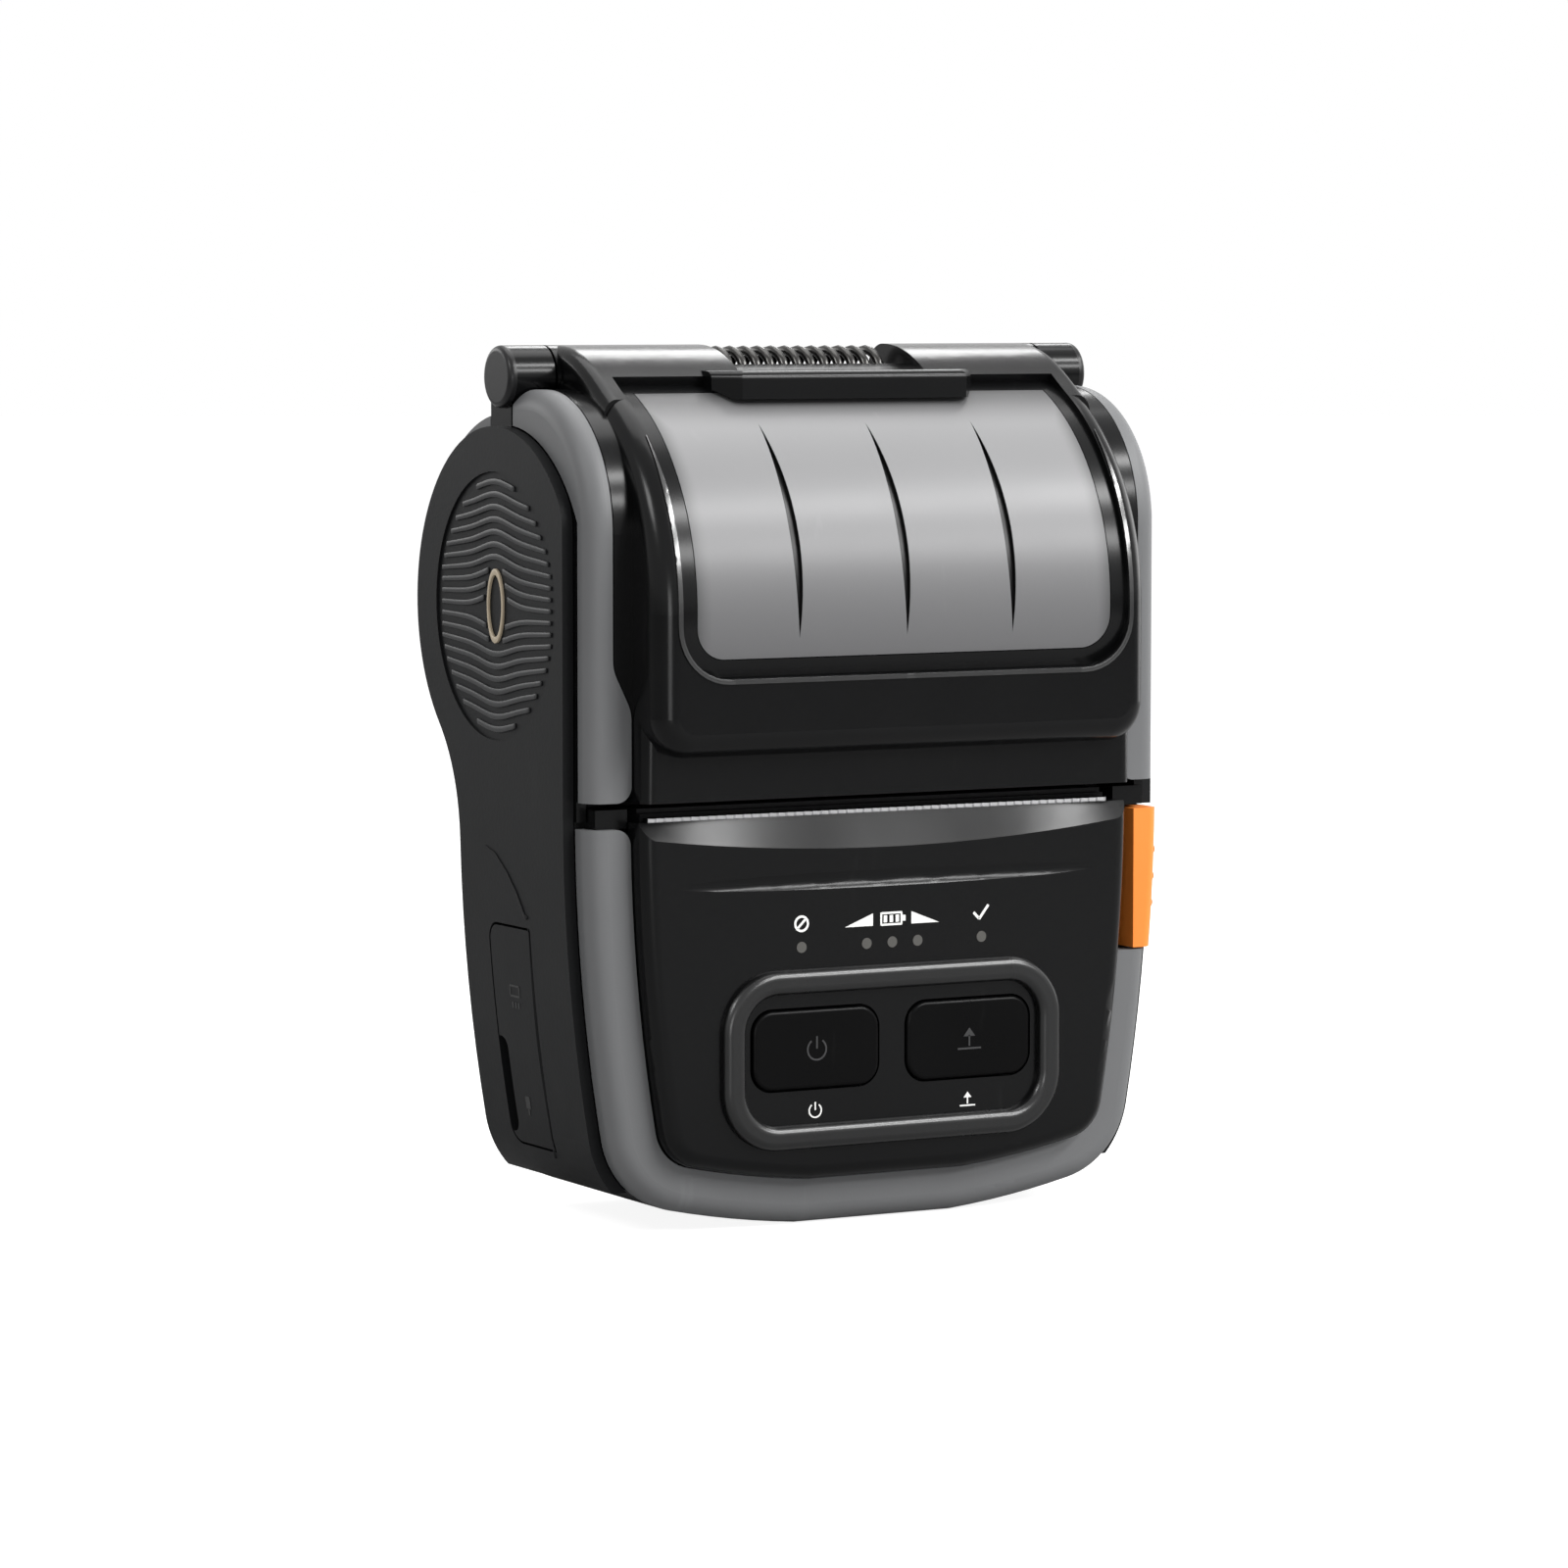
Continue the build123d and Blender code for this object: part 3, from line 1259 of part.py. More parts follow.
def door_hinge_rod(radius, reach, lift):
    """Round bar on the left along the door's slanted hinge axis, lifted outward, longer at both ends by reach."""
    low_z = door_foot + door_corner
    high_z = slot_z - door_top_drop - door_corner
    axis_y = front_y + door_front_setback + door_hinge_setback
    low = Vector(-case_side_x(low_z) - door_hinge_lift - lift, axis_y, low_z)
    high = Vector(-case_side_x(high_z) - door_hinge_lift - lift, axis_y, high_z)
    way = (high - low).normalized()
    start = Plane(origin=low - way * reach, z_dir=way)
    return extrude(start * Circle(radius), (high - low).length + 2 * reach)


def door_pins(radius, reach):
    """Two pins of the door in the side cover, above and below its front edge."""
    rod = door_hinge_rod(radius, door_corner + reach, 0)
    inset = door_front_corner + near
    return rod - block(-far, 0, -far, far, door_foot + inset, slot_z - door_top_drop - inset)


def port_door():
    """Curved flap over the connectors on two pins along its round front edge, with a notch for a fingernail."""
    skin = side_skin(cover_outer, side_cover_gap, front_y + cover_setback)
    flap = mirrored(skin) & along_x(door_outline(0), -far, 0)
    notch_y = front_y + door_front_setback + door_width
    notch_low = door_foot + door_notch_low
    notch = span(notch_y - door_notch_depth, notch_y + past, notch_low, door_foot + door_notch_high)
    inner_corners = notch.vertices().sort_by(Axis.X)[:2]
    flap -= along_x(fillet(inner_corners, door_notch_corner), -far, 0)
    axis_y = front_y + door_front_setback + door_hinge_setback
    front_part = block(-far, 0, -far, axis_y, case_bottom, tall)
    edge_room = door_hinge_rod(door_hinge_radius, door_corner, 0)
    edge_room += door_hinge_rod(door_hinge_radius, door_corner, door_edge_lift)
    round_edge = (flap & front_part) & edge_room
    return (flap - front_part) + round_edge + door_pins(door_pin_radius, door_pin_reach)


def connector_block():
    """Moulded frame behind the door that holds the sockets' mouths."""
    y_low = front_y + door_front_setback
    low_z, high_z = socket_span()
    x_high = socket_face_x + frame_thickness
    y_high = y_low + door_width + frame_margin
    face = block(socket_face_x, x_high, y_low - frame_margin, y_high, low_z, high_z)
    for size in socket_sizes:
        face -= socket_shape(size, socket_play, socket_face_x - past, x_high + past)
    return face


def socket_span():
    """Lowest and highest Z of the frame round the sockets."""
    low_z = min(door_middle_z + place - size / 2 for size, wide, place in socket_sizes)
    high_z = max(door_middle_z + place + size / 2 for size, wide, place in socket_sizes)
    return low_z - socket_frame_margin, high_z + socket_frame_margin


def socket_shape(size, grow, x_low, x_high):
    """Outside of one socket."""
    tall_size, wide_size, place = size
    y_mid = front_y + door_front_setback + door_width / 2
    shape = RectangleRounded(wide_size + 2 * grow, tall_size + 2 * grow, socket_corner + grow)
    return along_x(Pos(y_mid, door_middle_z + place) * shape, x_low, x_high)


def socket(size):
    """Metal socket shell with its mouth towards the door."""
    x_high = socket_face_x + socket_depth
    shell = socket_shape(size, 0, socket_face_x, x_high)
    return shell - socket_shape(size, -socket_wall, socket_face_x - past, x_high - past)


def side_board():
    """Upright board that carries the sockets."""
    x_low = socket_face_x + socket_depth
    y_low = front_y + door_front_setback
    low_z, high_z = socket_span()
    y_high = y_low + door_width + side_board_margin
    return block(x_low, x_low + side_board_thickness, y_low - side_board_margin, y_high, low_z, high_z)


def rear_bumper(side):
    """Grey crescent over the top of the rear shell, beside the hinge."""
    outer = Pos(roll_y, roll_z + crescent_lift) * Circle(cover_radius)
    crescent = outer - roll_circle(shell_radius + pad_gap)
    low = roll_z + shell_radius * crescent_low_share
    crescent = crescent & span(hinge_y + neck_back + snug_gap, roll_y + cover_radius, low, tall)
    pad = along_x(crescent, drum_half_width + crescent_inner, case_half_width)
    return mirrored(pad) if side < 0 else pad


def paper_tub():
    """Trough under the roll with side walls, a ramp to the print head and a shelf under it."""
    outer = shell_radius - shell_wall - tub_gap
    trough = roll_circle(outer) - roll_circle(outer - trough_wall)
    trough = trough & span(ramp_y, far, 0, roll_z - trough_end_drop)
    tub = along_x(trough, -tub_half_width, tub_half_width)
    ramp_top = roll_z - sqrt(outer ** 2 - (ramp_y - roll_y) ** 2) + trough_wall
    ramp_back = ramp_y + paper_ramp_wall
    side_low = slot_z - tub_side_drop
    tub += block(-tub_half_width, tub_half_width, ramp_y, ramp_back, side_low, ramp_top)
    for side in (-1, 1):
        tub += tub_side(side)
    half = tub_half_width - drum_edge
    shelf_top = sink_top - heat_sink_thickness - shelf_gap
    shelf_low = shelf_top - shelf_thickness
    tub += block(-half, half, ramp_y, ramp_back, shelf_low, side_low)
    return tub + block(-half, half, panel_y + shelf_behind_panel, ramp_back, shelf_low, shelf_top)


def tub_side(side):
    """Side wall of the tub, following the inside of the rear shell."""
    outer = shell_radius - shell_wall - tub_gap
    x_high = tub_half_width + tub_wall
    face = roll_circle(outer) & span(ramp_y, far, slot_z + tub_rest_drop, tall)
    wall = along_x(face, tub_half_width, x_high)
    corner_top = roll_z - outer * tub_corner_share
    y_high = ramp_y + tub_front_width
    wall += block(tub_half_width, x_high, ramp_y, y_high, slot_z - tub_side_drop, corner_top)
    return mirrored(wall) if side < 0 else wall


def roll_guide(side):
    """Disc with a hub that centres the paper roll."""
    face_x = roll_half_width + guide_gap
    back_x = face_x + guide_thickness
    disc = rod_x(roll_y, roll_z, guide_radius, face_x, back_x)
    disc += rod_x(roll_y, roll_z, guide_hub_radius, roll_half_width - guide_hub_reach, face_x)
    disc += rod_x(roll_y, roll_z, guide_hub_radius + guide_collar, back_x, tub_half_width)
    return mirrored(disc) if side < 0 else disc


def heat_sink():
    """Finned aluminium bar that carries the heater board under the roller."""
    half = roll_half_width + head_margin
    low = sink_top - heat_sink_thickness
    bar = block(-half, half, head_front_y, platen_y + ramp_behind_platen - head_room_gap, low, sink_top)
    for index in range(fin_count):
        y_cut = head_front_y + 2 * head_margin + index * fin_pitch
        bar -= block(-far, far, y_cut, y_cut + fin_gap, low - past, low + fin_depth)
    return bar


def heater_board():
    """Thin ceramic board pressed up against the roller."""
    half = roll_half_width + head_margin
    reach = head_depth / 2
    return block(-half, half, platen_y - reach, platen_y + reach, sink_top, sink_top + head_board_thickness)


def tear_bar():
    """Steel strip with a toothed front edge along the slot."""
    teeth = round(2 * tear_bar_half_width / tear_tooth_pitch)
    y_tip = panel_y + tear_setback
    y_root = y_tip + tear_tooth_depth
    points = [(-tear_bar_half_width, y_root)]
    for index in range(teeth):
        x_low = -tear_bar_half_width + index * tear_tooth_pitch
        points.append((x_low + tear_tooth_pitch / 2, y_tip))
        points.append((x_low + tear_tooth_pitch, y_root))
    points.append((tear_bar_half_width, head_front_y - snug_gap))
    points.append((-tear_bar_half_width, head_front_y - snug_gap))
    outline = make_face(Polyline(*points, close=True))
    return extrude(Plane.XY.offset(slot_z - lip_drop) * outline, tear_bar_thickness)


def main_board():
    """Printed board behind the control panel."""
    outline = front_outline(panel_inset + panel_wall + part_gap)
    board = along_y(outline, board_front_y, board_front_y + board_thickness)
    half = board_half_width
    return board & block(-half, half, -far, far, board_foot, slot_z - board_top_drop)


def board_chips():
    """Packages on the back of the main board, as separate solids."""
    y_low = board_front_y + board_thickness
    chips = []
    for x_mid, drop, wide, high in chip_sizes:
        chip = Pos(x_mid, y_low + chip_height / 2, slot_z - drop) * Box(wide, chip_height, high)
        chips.append(chip)
    return Compound(children=chips)


def battery_pack():
    """Battery pack whose outer face closes the back."""
    low = battery_foot
    high = slot_z - battery_top_drop
    y_low = back_y - battery_depth
    pack = block(-battery_half_width, battery_half_width, y_low, back_y, low, high)
    pack = fillet(pack.edges().filter_by(Axis.Y), battery_edge)
    rim = pack.edges().filter_by(Plane.XZ).filter_by(lambda e: e.center().Y > back_y - near)
    pack = fillet(rim, battery_rim)
    half = finger_scoop_half_width
    pack -= rod_x(back_y + finger_scoop_out, high + battery_edge, finger_scoop_radius, -half, half)
    for index in range(contact_count):
        x_mid = contact_place(index)
        half = contact_width / 2
        z_high = high - contact_top
        z_low = z_high - contact_height
        pack -= block(x_mid - half, x_mid + half, y_low - past, y_low + slide_gap, z_low, z_high)
    return pack


def contact_place(index):
    """X of one battery contact."""
    return (index - (contact_count - 1) / 2) * contact_pitch


def battery_contacts():
    """Sprung brass blades that meet the battery."""
    y_high = back_y - battery_depth - pad_gap
    y_low = back_y - battery_depth - contact_room + touch_gap
    z_high = slot_z - battery_top_drop - contact_top
    half = contact_width / 2 - slide_gap
    blades = []
    for index in range(contact_count):
        x_low = contact_place(index) - half
        x_high = x_low + 2 * half
        tip_y = y_high - contact_tip_radius
        foot = block(x_low, x_high, y_low, tip_y, z_high - contact_height, z_high)
        tip = rod_x(tip_y, z_high - contact_height / 2, contact_tip_radius, x_low, x_high)
        blades.append(foot + tip)
    return Compound(children=blades)


def battery_tray():
    """Thin walled tray that guides the battery."""
    low = battery_foot - slide_gap
    high = slot_z - battery_top_drop + slide_gap
    half = battery_half_width + slide_gap
    y_low = back_y - battery_depth - contact_room
    y_high = back_y - shell_wall - snug_gap
    wide = half + tray_wall
    outside = block(-wide, wide, y_low - tray_wall, y_high, low - tray_wall, high + tray_wall)
    tray = outside - block(-half, half, y_low, y_high + past, low, high)
    return tray & body_core(shell_radius - shell_wall, split_y, shell_wall + pad_gap)


def clip_lugs():
    """Two lugs on the back that hold the belt clip's pin."""
    x_low = clip_half_width + snug_gap
    x_high = x_low + clip_lug_wall
    radius = clip_knuckle_radius
    ear = rod_x(clip_pin_y, clip_pin_z, radius, x_low, x_high)
    ear += block(x_low, x_high, back_y - past, clip_pin_y, clip_pin_z - radius, clip_pin_z + radius)
    ear -= rod_x(clip_pin_y, clip_pin_z, clip_pin_radius, x_low - past, x_high + past)
    ear -= body_core(shell_radius - shell_wall, split_y, shell_wall)
    return ear + mirrored(ear)


def clip_pin():
    """Pin of the belt clip."""
    half = clip_half_width + snug_gap + clip_lug_wall
    return rod_x(clip_pin_y, clip_pin_z, clip_pin_radius, -half, half)


def belt_clip():
    """Sprung clip that hangs down the back from its pin, with an inward lip at its end."""
    half = clip_half_width
    low = slot_z - clip_bottom_drop
    plate = block(-half, half, clip_y, clip_y + clip_thickness, low, clip_pin_z)
    plate = fillet(plate.edges().filter_by(Axis.Y).sort_by(Axis.Z)[:2], clip_corner)
    clip = plate + rod_x(clip_pin_y, clip_pin_z, clip_knuckle_radius, -half, half)
    room = clip_spring_half + clip_spring_room
    clip -= rod_x(clip_pin_y, clip_pin_z, clip_knuckle_radius + clip_spring_room, -room, room)
    lip = half - clip_corner
    clip += block(-lip, lip, clip_y - clip_lip, clip_y + clip_thickness / 2, low, low + clip_lip_height)
    return clip - rod_x(clip_pin_y, clip_pin_z, clip_pin_radius + pin_play, -half - past, half + past)


def clip_spring():
    """Small wound spring on the belt clip's pin."""
    length = 2 * clip_spring_half
    radius = clip_pin_radius + clip_spring_clearance + clip_spring_wire
    turns = clip_spring_half_turns
    wound = coil("belt_clip_spring", length, turns, radius, clip_spring_wire, clip_spring_leg)
    return Pos(0, clip_pin_y, clip_pin_z) * wound


def release_spring():
    """Small wound spring between the front case and the release button."""
    wire = release_spring_wire
    x_low = spring_cup_x + wire + pad_gap
    x_high = case_half_width - release_thickness - wire - pad_gap
    turns = release_spring_half_turns
    wound = coil("release_spring", x_high - x_low, turns, release_spring_radius, wire, wire)
    return Pos((x_low + x_high) / 2, release_spring_y, release_spring_z) * wound


def save(shape, name):
    """Writes one node."""
    export_step(shape, "parts/" + name + ".step")


def build():
    """Makes every node and writes it."""
    os.makedirs("parts", exist_ok=True)
    save(front_case(), "front_case")
    save(lower_bumper(), "lower_bumper")
    save(rear_shell(), "rear_shell")
    for side, name in ((-1, "left"), (1, "right")):
        save(side_cover(side), name + "_side_cover")
        save(rear_bumper(side), name + "_rear_bumper")
        save(lid_bumper(side), name + "_lid_bumper")
        save(platen_bush(side), name + "_platen_bush")
        save(roll_guide(side), name + "_roll_guide")
        save(hinge_cap(side), name + "_hinge_cap")
    save(lid_frame(), "lid_frame")
    save(lid_window(), "lid_window")
    save(platen_shaft(), "platen_shaft")
    save(platen_roller(), "platen_roller")
    save(platen_gear(), "platen_gear")
    save(idler_gear(), "idler_gear")
    save(idler_pin(), "idler_pin")
    save(motor_pinion(), "motor_pinion")
    save(motor_shaft(), "motor_shaft")
    save(drive_motor(), "drive_motor")
    save(gear_plate(), "gear_plate")
    save(hinge_pin(), "hinge_pin")
    save(hinge_spring(), "hinge_spring")
    save(status_lenses(), "status_lenses")
    save(key_button(-key_spread), "power_button")
    save(key_button(key_spread), "feed_button")
    save(dome_switches(), "dome_switches")
    save(keypad_bezel(), "keypad_bezel")
    save(release_button(), "release_button")
    save(release_spring(), "release_spring")
    save(latch_lever(), "latch_lever")
    save(latch_pin(), "latch_pin")
    save(port_door(), "port_door")
    save(connector_block(), "connector_block")
    save(socket(socket_sizes[0]), "charging_socket")
    save(socket(socket_sizes[1]), "data_socket")
    save(side_board(), "side_board")
    save(paper_tub(), "paper_tub")
    save(heat_sink(), "heat_sink")
    save(heater_board(), "heater_board")
    save(tear_bar(), "tear_bar")
    save(main_board(), "main_board")
    save(board_chips(), "board_chips")
    save(battery_pack(), "battery_pack")
    save(battery_contacts(), "battery_contacts")
    save(battery_tray(), "battery_tray")
    save(clip_pin(), "belt_clip_pin")
    save(belt_clip(), "belt_clip")
    save(clip_spring(), "belt_clip_spring")
    save(case_screws(), "case_screws")


build()
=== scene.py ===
"""Looks of a mobile ticket printer: its studio, its finishes and the small pieces that dress its frame.

Lengths inside the classes are millimetres in the frame of the part: X to the right, Y to the back, Z up, the
foot on Z = 0. They become metres where a mesh is made.
"""

import logging
import math
from collections.abc import Callable, Iterator
from contextlib import contextmanager
from dataclasses import dataclass, field
from enum import Enum

import bmesh
import bpy
from mathutils import Matrix, Vector

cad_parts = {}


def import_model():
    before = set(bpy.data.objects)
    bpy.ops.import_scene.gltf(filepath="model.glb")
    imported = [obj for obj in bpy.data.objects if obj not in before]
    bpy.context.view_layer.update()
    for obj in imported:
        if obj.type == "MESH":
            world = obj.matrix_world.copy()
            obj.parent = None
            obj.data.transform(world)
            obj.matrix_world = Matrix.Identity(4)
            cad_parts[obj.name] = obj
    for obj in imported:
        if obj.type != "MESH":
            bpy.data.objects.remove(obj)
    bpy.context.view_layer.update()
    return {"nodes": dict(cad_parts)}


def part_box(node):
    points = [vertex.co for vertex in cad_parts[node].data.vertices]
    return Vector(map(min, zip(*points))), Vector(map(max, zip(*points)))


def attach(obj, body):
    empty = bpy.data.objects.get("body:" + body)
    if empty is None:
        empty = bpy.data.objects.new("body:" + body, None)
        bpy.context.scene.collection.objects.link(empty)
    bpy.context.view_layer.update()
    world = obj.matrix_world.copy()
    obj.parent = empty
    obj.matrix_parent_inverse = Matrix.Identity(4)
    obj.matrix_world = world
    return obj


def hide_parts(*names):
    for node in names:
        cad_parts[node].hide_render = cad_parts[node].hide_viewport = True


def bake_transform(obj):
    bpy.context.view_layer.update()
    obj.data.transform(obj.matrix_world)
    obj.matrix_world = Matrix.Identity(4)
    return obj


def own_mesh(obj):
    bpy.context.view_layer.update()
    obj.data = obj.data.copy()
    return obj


LOG = logging.getLogger("ticket_printer")
MM = 0.001
MERGE_DISTANCE = 0.001  # mm, below which two points are one
UNDERLAP = 0.03  # mm that a print reaches into the surface below it
BEVEL_ANGLE = 0.9  # radians, above which an edge is rounded
SENSOR_WIDTH = 36.0  # mm

Colour = tuple[float, float, float]
Point = tuple[float, float]
Place = tuple[float, float, float]
Source = bpy.types.NodeSocket | float | tuple[float, ...]

RIGHTWARDS: Place = (1.0, 0.0, 0.0)
UPWARDS: Place = (0.0, 0.0, 1.0)


class Body(Enum):
    """Bodies of the part that a piece can ride on."""

    PRINTER = "printer"
    LID = "lid"
    POWER_KEY = "power_key"
    FEED_KEY = "feed_key"
    DOOR = "door"


class Side(Enum):
    """Left and right of the printer, as the sign of X."""

    LEFT = -1
    RIGHT = 1


# Mesh helpers


def deselect_everything() -> None:
    """Leaves nothing selected, so that an operator only acts on what it is given."""
    if bpy.context.object is not None and bpy.context.object.mode != "OBJECT":
        bpy.ops.object.mode_set(mode="OBJECT")
    bpy.ops.object.select_all(action="DESELECT")


def make_active(piece: bpy.types.Object) -> None:
    """Selects one object alone and makes it the active one.

    Args:
        piece: The object to work on.
    """
    deselect_everything()
    piece.select_set(True)
    bpy.context.view_layer.objects.active = piece


def settle(piece: bpy.types.Object) -> bpy.types.Object:
    """Applies place, turn and scale, so the object sits at the origin with its place in its mesh.

    Args:
        piece: The object to settle.

    Returns:
        The same object.
    """
    make_active(piece)
    bpy.ops.object.transform_apply(location=True, rotation=True, scale=True)
    return piece


def apply_modifier(piece: bpy.types.Object, kind: str, **values: object) -> None:
    """Adds one modifier with its values and applies it.

    Args:
        piece: The object that gets it.
        kind: Type of the modifier.
        values: Its settings by name.
    """
    make_active(piece)
    modifier = piece.modifiers.new(kind.title(), kind)
    for name, value in values.items():
        setattr(modifier, name, value)
    bpy.ops.object.modifier_apply(modifier=modifier.name)


@contextmanager
def edited(piece: bpy.types.Object) -> Iterator[None]:
    """Opens a piece in edit mode with its whole mesh selected, and leaves edit mode afterwards.

    Args:
        piece: The object to edit.

    Yields:
        Nothing: the operators act on the selected mesh.
    """
    make_active(piece)
    bpy.ops.object.mode_set(mode="EDIT")
    bpy.ops.mesh.select_mode(type="FACE")
    bpy.ops.mesh.select_all(action="SELECT")
    yield
    bpy.ops.object.mode_set(mode="OBJECT")


@contextmanager
def open_mesh(piece: bpy.types.Object) -> Iterator[bmesh.types.BMesh]:
    """Opens a piece's mesh for changes that are found by place, and writes them back.

    Args:
        piece: The object to change.

    Yields:
        Its editable mesh.
    """
    work = bmesh.new()
    work.from_mesh(piece.data)
    yield work
    work.to_mesh(piece.data)
    work.free()


def finish_mesh(piece: bpy.types.Object, smooth_degrees: float = 35.0) -> None:
    """Merges doubled points, turns the faces outwards and shades the piece smooth below an angle.

    Args:
        piece: The object to finish.
        smooth_degrees: Edges sharper than this stay sharp.
    """
    with edited(piece):
        bpy.ops.mesh.remove_doubles(threshold=MERGE_DISTANCE * MM)
        bpy.ops.mesh.normals_make_consistent(inside=False)
    make_active(piece)
    bpy.ops.object.shade_smooth_by_angle(angle=math.radians(smooth_degrees))


def join(pieces: list[bpy.types.Object], name: str) -> bpy.types.Object:
    """Joins several meshes into one object.

    Args:
        pieces: The meshes.
        name: Name of the joined object.

    Returns:
        The joined object.
    """
    make_active(pieces[0])
    for piece in pieces:
        piece.select_set(True)
    if len(pieces) > 1:
        bpy.ops.object.join()
    joined = bpy.context.object
    joined.name = joined.data.name = name
    return joined


def refine(piece: bpy.types.Object, longest: float, rounds: int = 6) -> None:
    """Cuts long edges of a flat drawing so that it can bend over a curved surface.

    Args:
        piece: The flat mesh.
        longest: Longest edge to leave, in mm.
        rounds: How often its edges are halved at most.
    """
    with open_mesh(piece) as work:
        bmesh.ops.triangulate(work, faces=work.faces)
        for _ in range(rounds):
            long_edges = [e for e in work.edges if e.calc_length() > longest * MM]
            if not long_edges:
                break
            bmesh.ops.subdivide_edges(work, edges=long_edges, cuts=1)
            bmesh.ops.triangulate(work, faces=work.faces)


def lay_on(piece: bpy.types.Object, node: bpy.types.Object, normal: Vector, drop: float = 30.0) -> None:
    """Moves each point of a flat mesh against its plane's normal until it meets a node's surface.

    Args:
        piece: The flat mesh, in the frame of the part.
        node: The CAD node below it.
        normal: Direction away from the node.
        drop: The way down starts at half of this before the plane, and is twice as long, in mm.
    """
    way = drop * MM
    missed = 0
    for vertex in piece.data.vertices:
        start = vertex.co + normal * way / 2
        hit, place, _, _ = node.ray_cast(start, -normal, distance=2 * way)
        if hit:
            vertex.co = place
        missed += not hit
    if missed:
        LOG.warning("%s has %d points with nothing of %s below them", piece.name, missed, node.name)


# Drawings


@dataclass(frozen=True)
class Plane:
    """A flat drawing plane beside a face of the printer, with its own right and up.

    Attributes:
        origin: Place of the drawing's middle, in mm.
        right: Direction of the drawing's first coordinate.
        up: Direction of the drawing's second coordinate.
    """

    origin: Place
    right: Place = RIGHTWARDS
    up: Place = UPWARDS

    @classmethod
    def beside(cls, side: Side, distance: float, middle: Point = (0.0, 0.0)) -> "Plane":
        """Makes a plane to the left or right of the printer, seen from outside.

        Args:
            side: Left or right.
            distance: Its distance from the printer's middle.
            middle: Y and Z of the drawing's middle.

        Returns:
            The plane.
        """
        return cls((side.value * distance, *middle), (0.0, float(side.value), 0.0))

    def normal(self) -> Vector:
        """Direction in which the drawing looks, away from the printer."""
        return Vector(self.right).cross(Vector(self.up)).normalized()

    def matrix(self) -> Matrix:
        """Matrix from the drawing's own metres to the frame of the part."""
        columns = Matrix((Vector(self.right), Vector(self.up), self.normal())).transposed().to_4x4()
        return Matrix.Translation(Vector(self.origin) * MM) @ columns


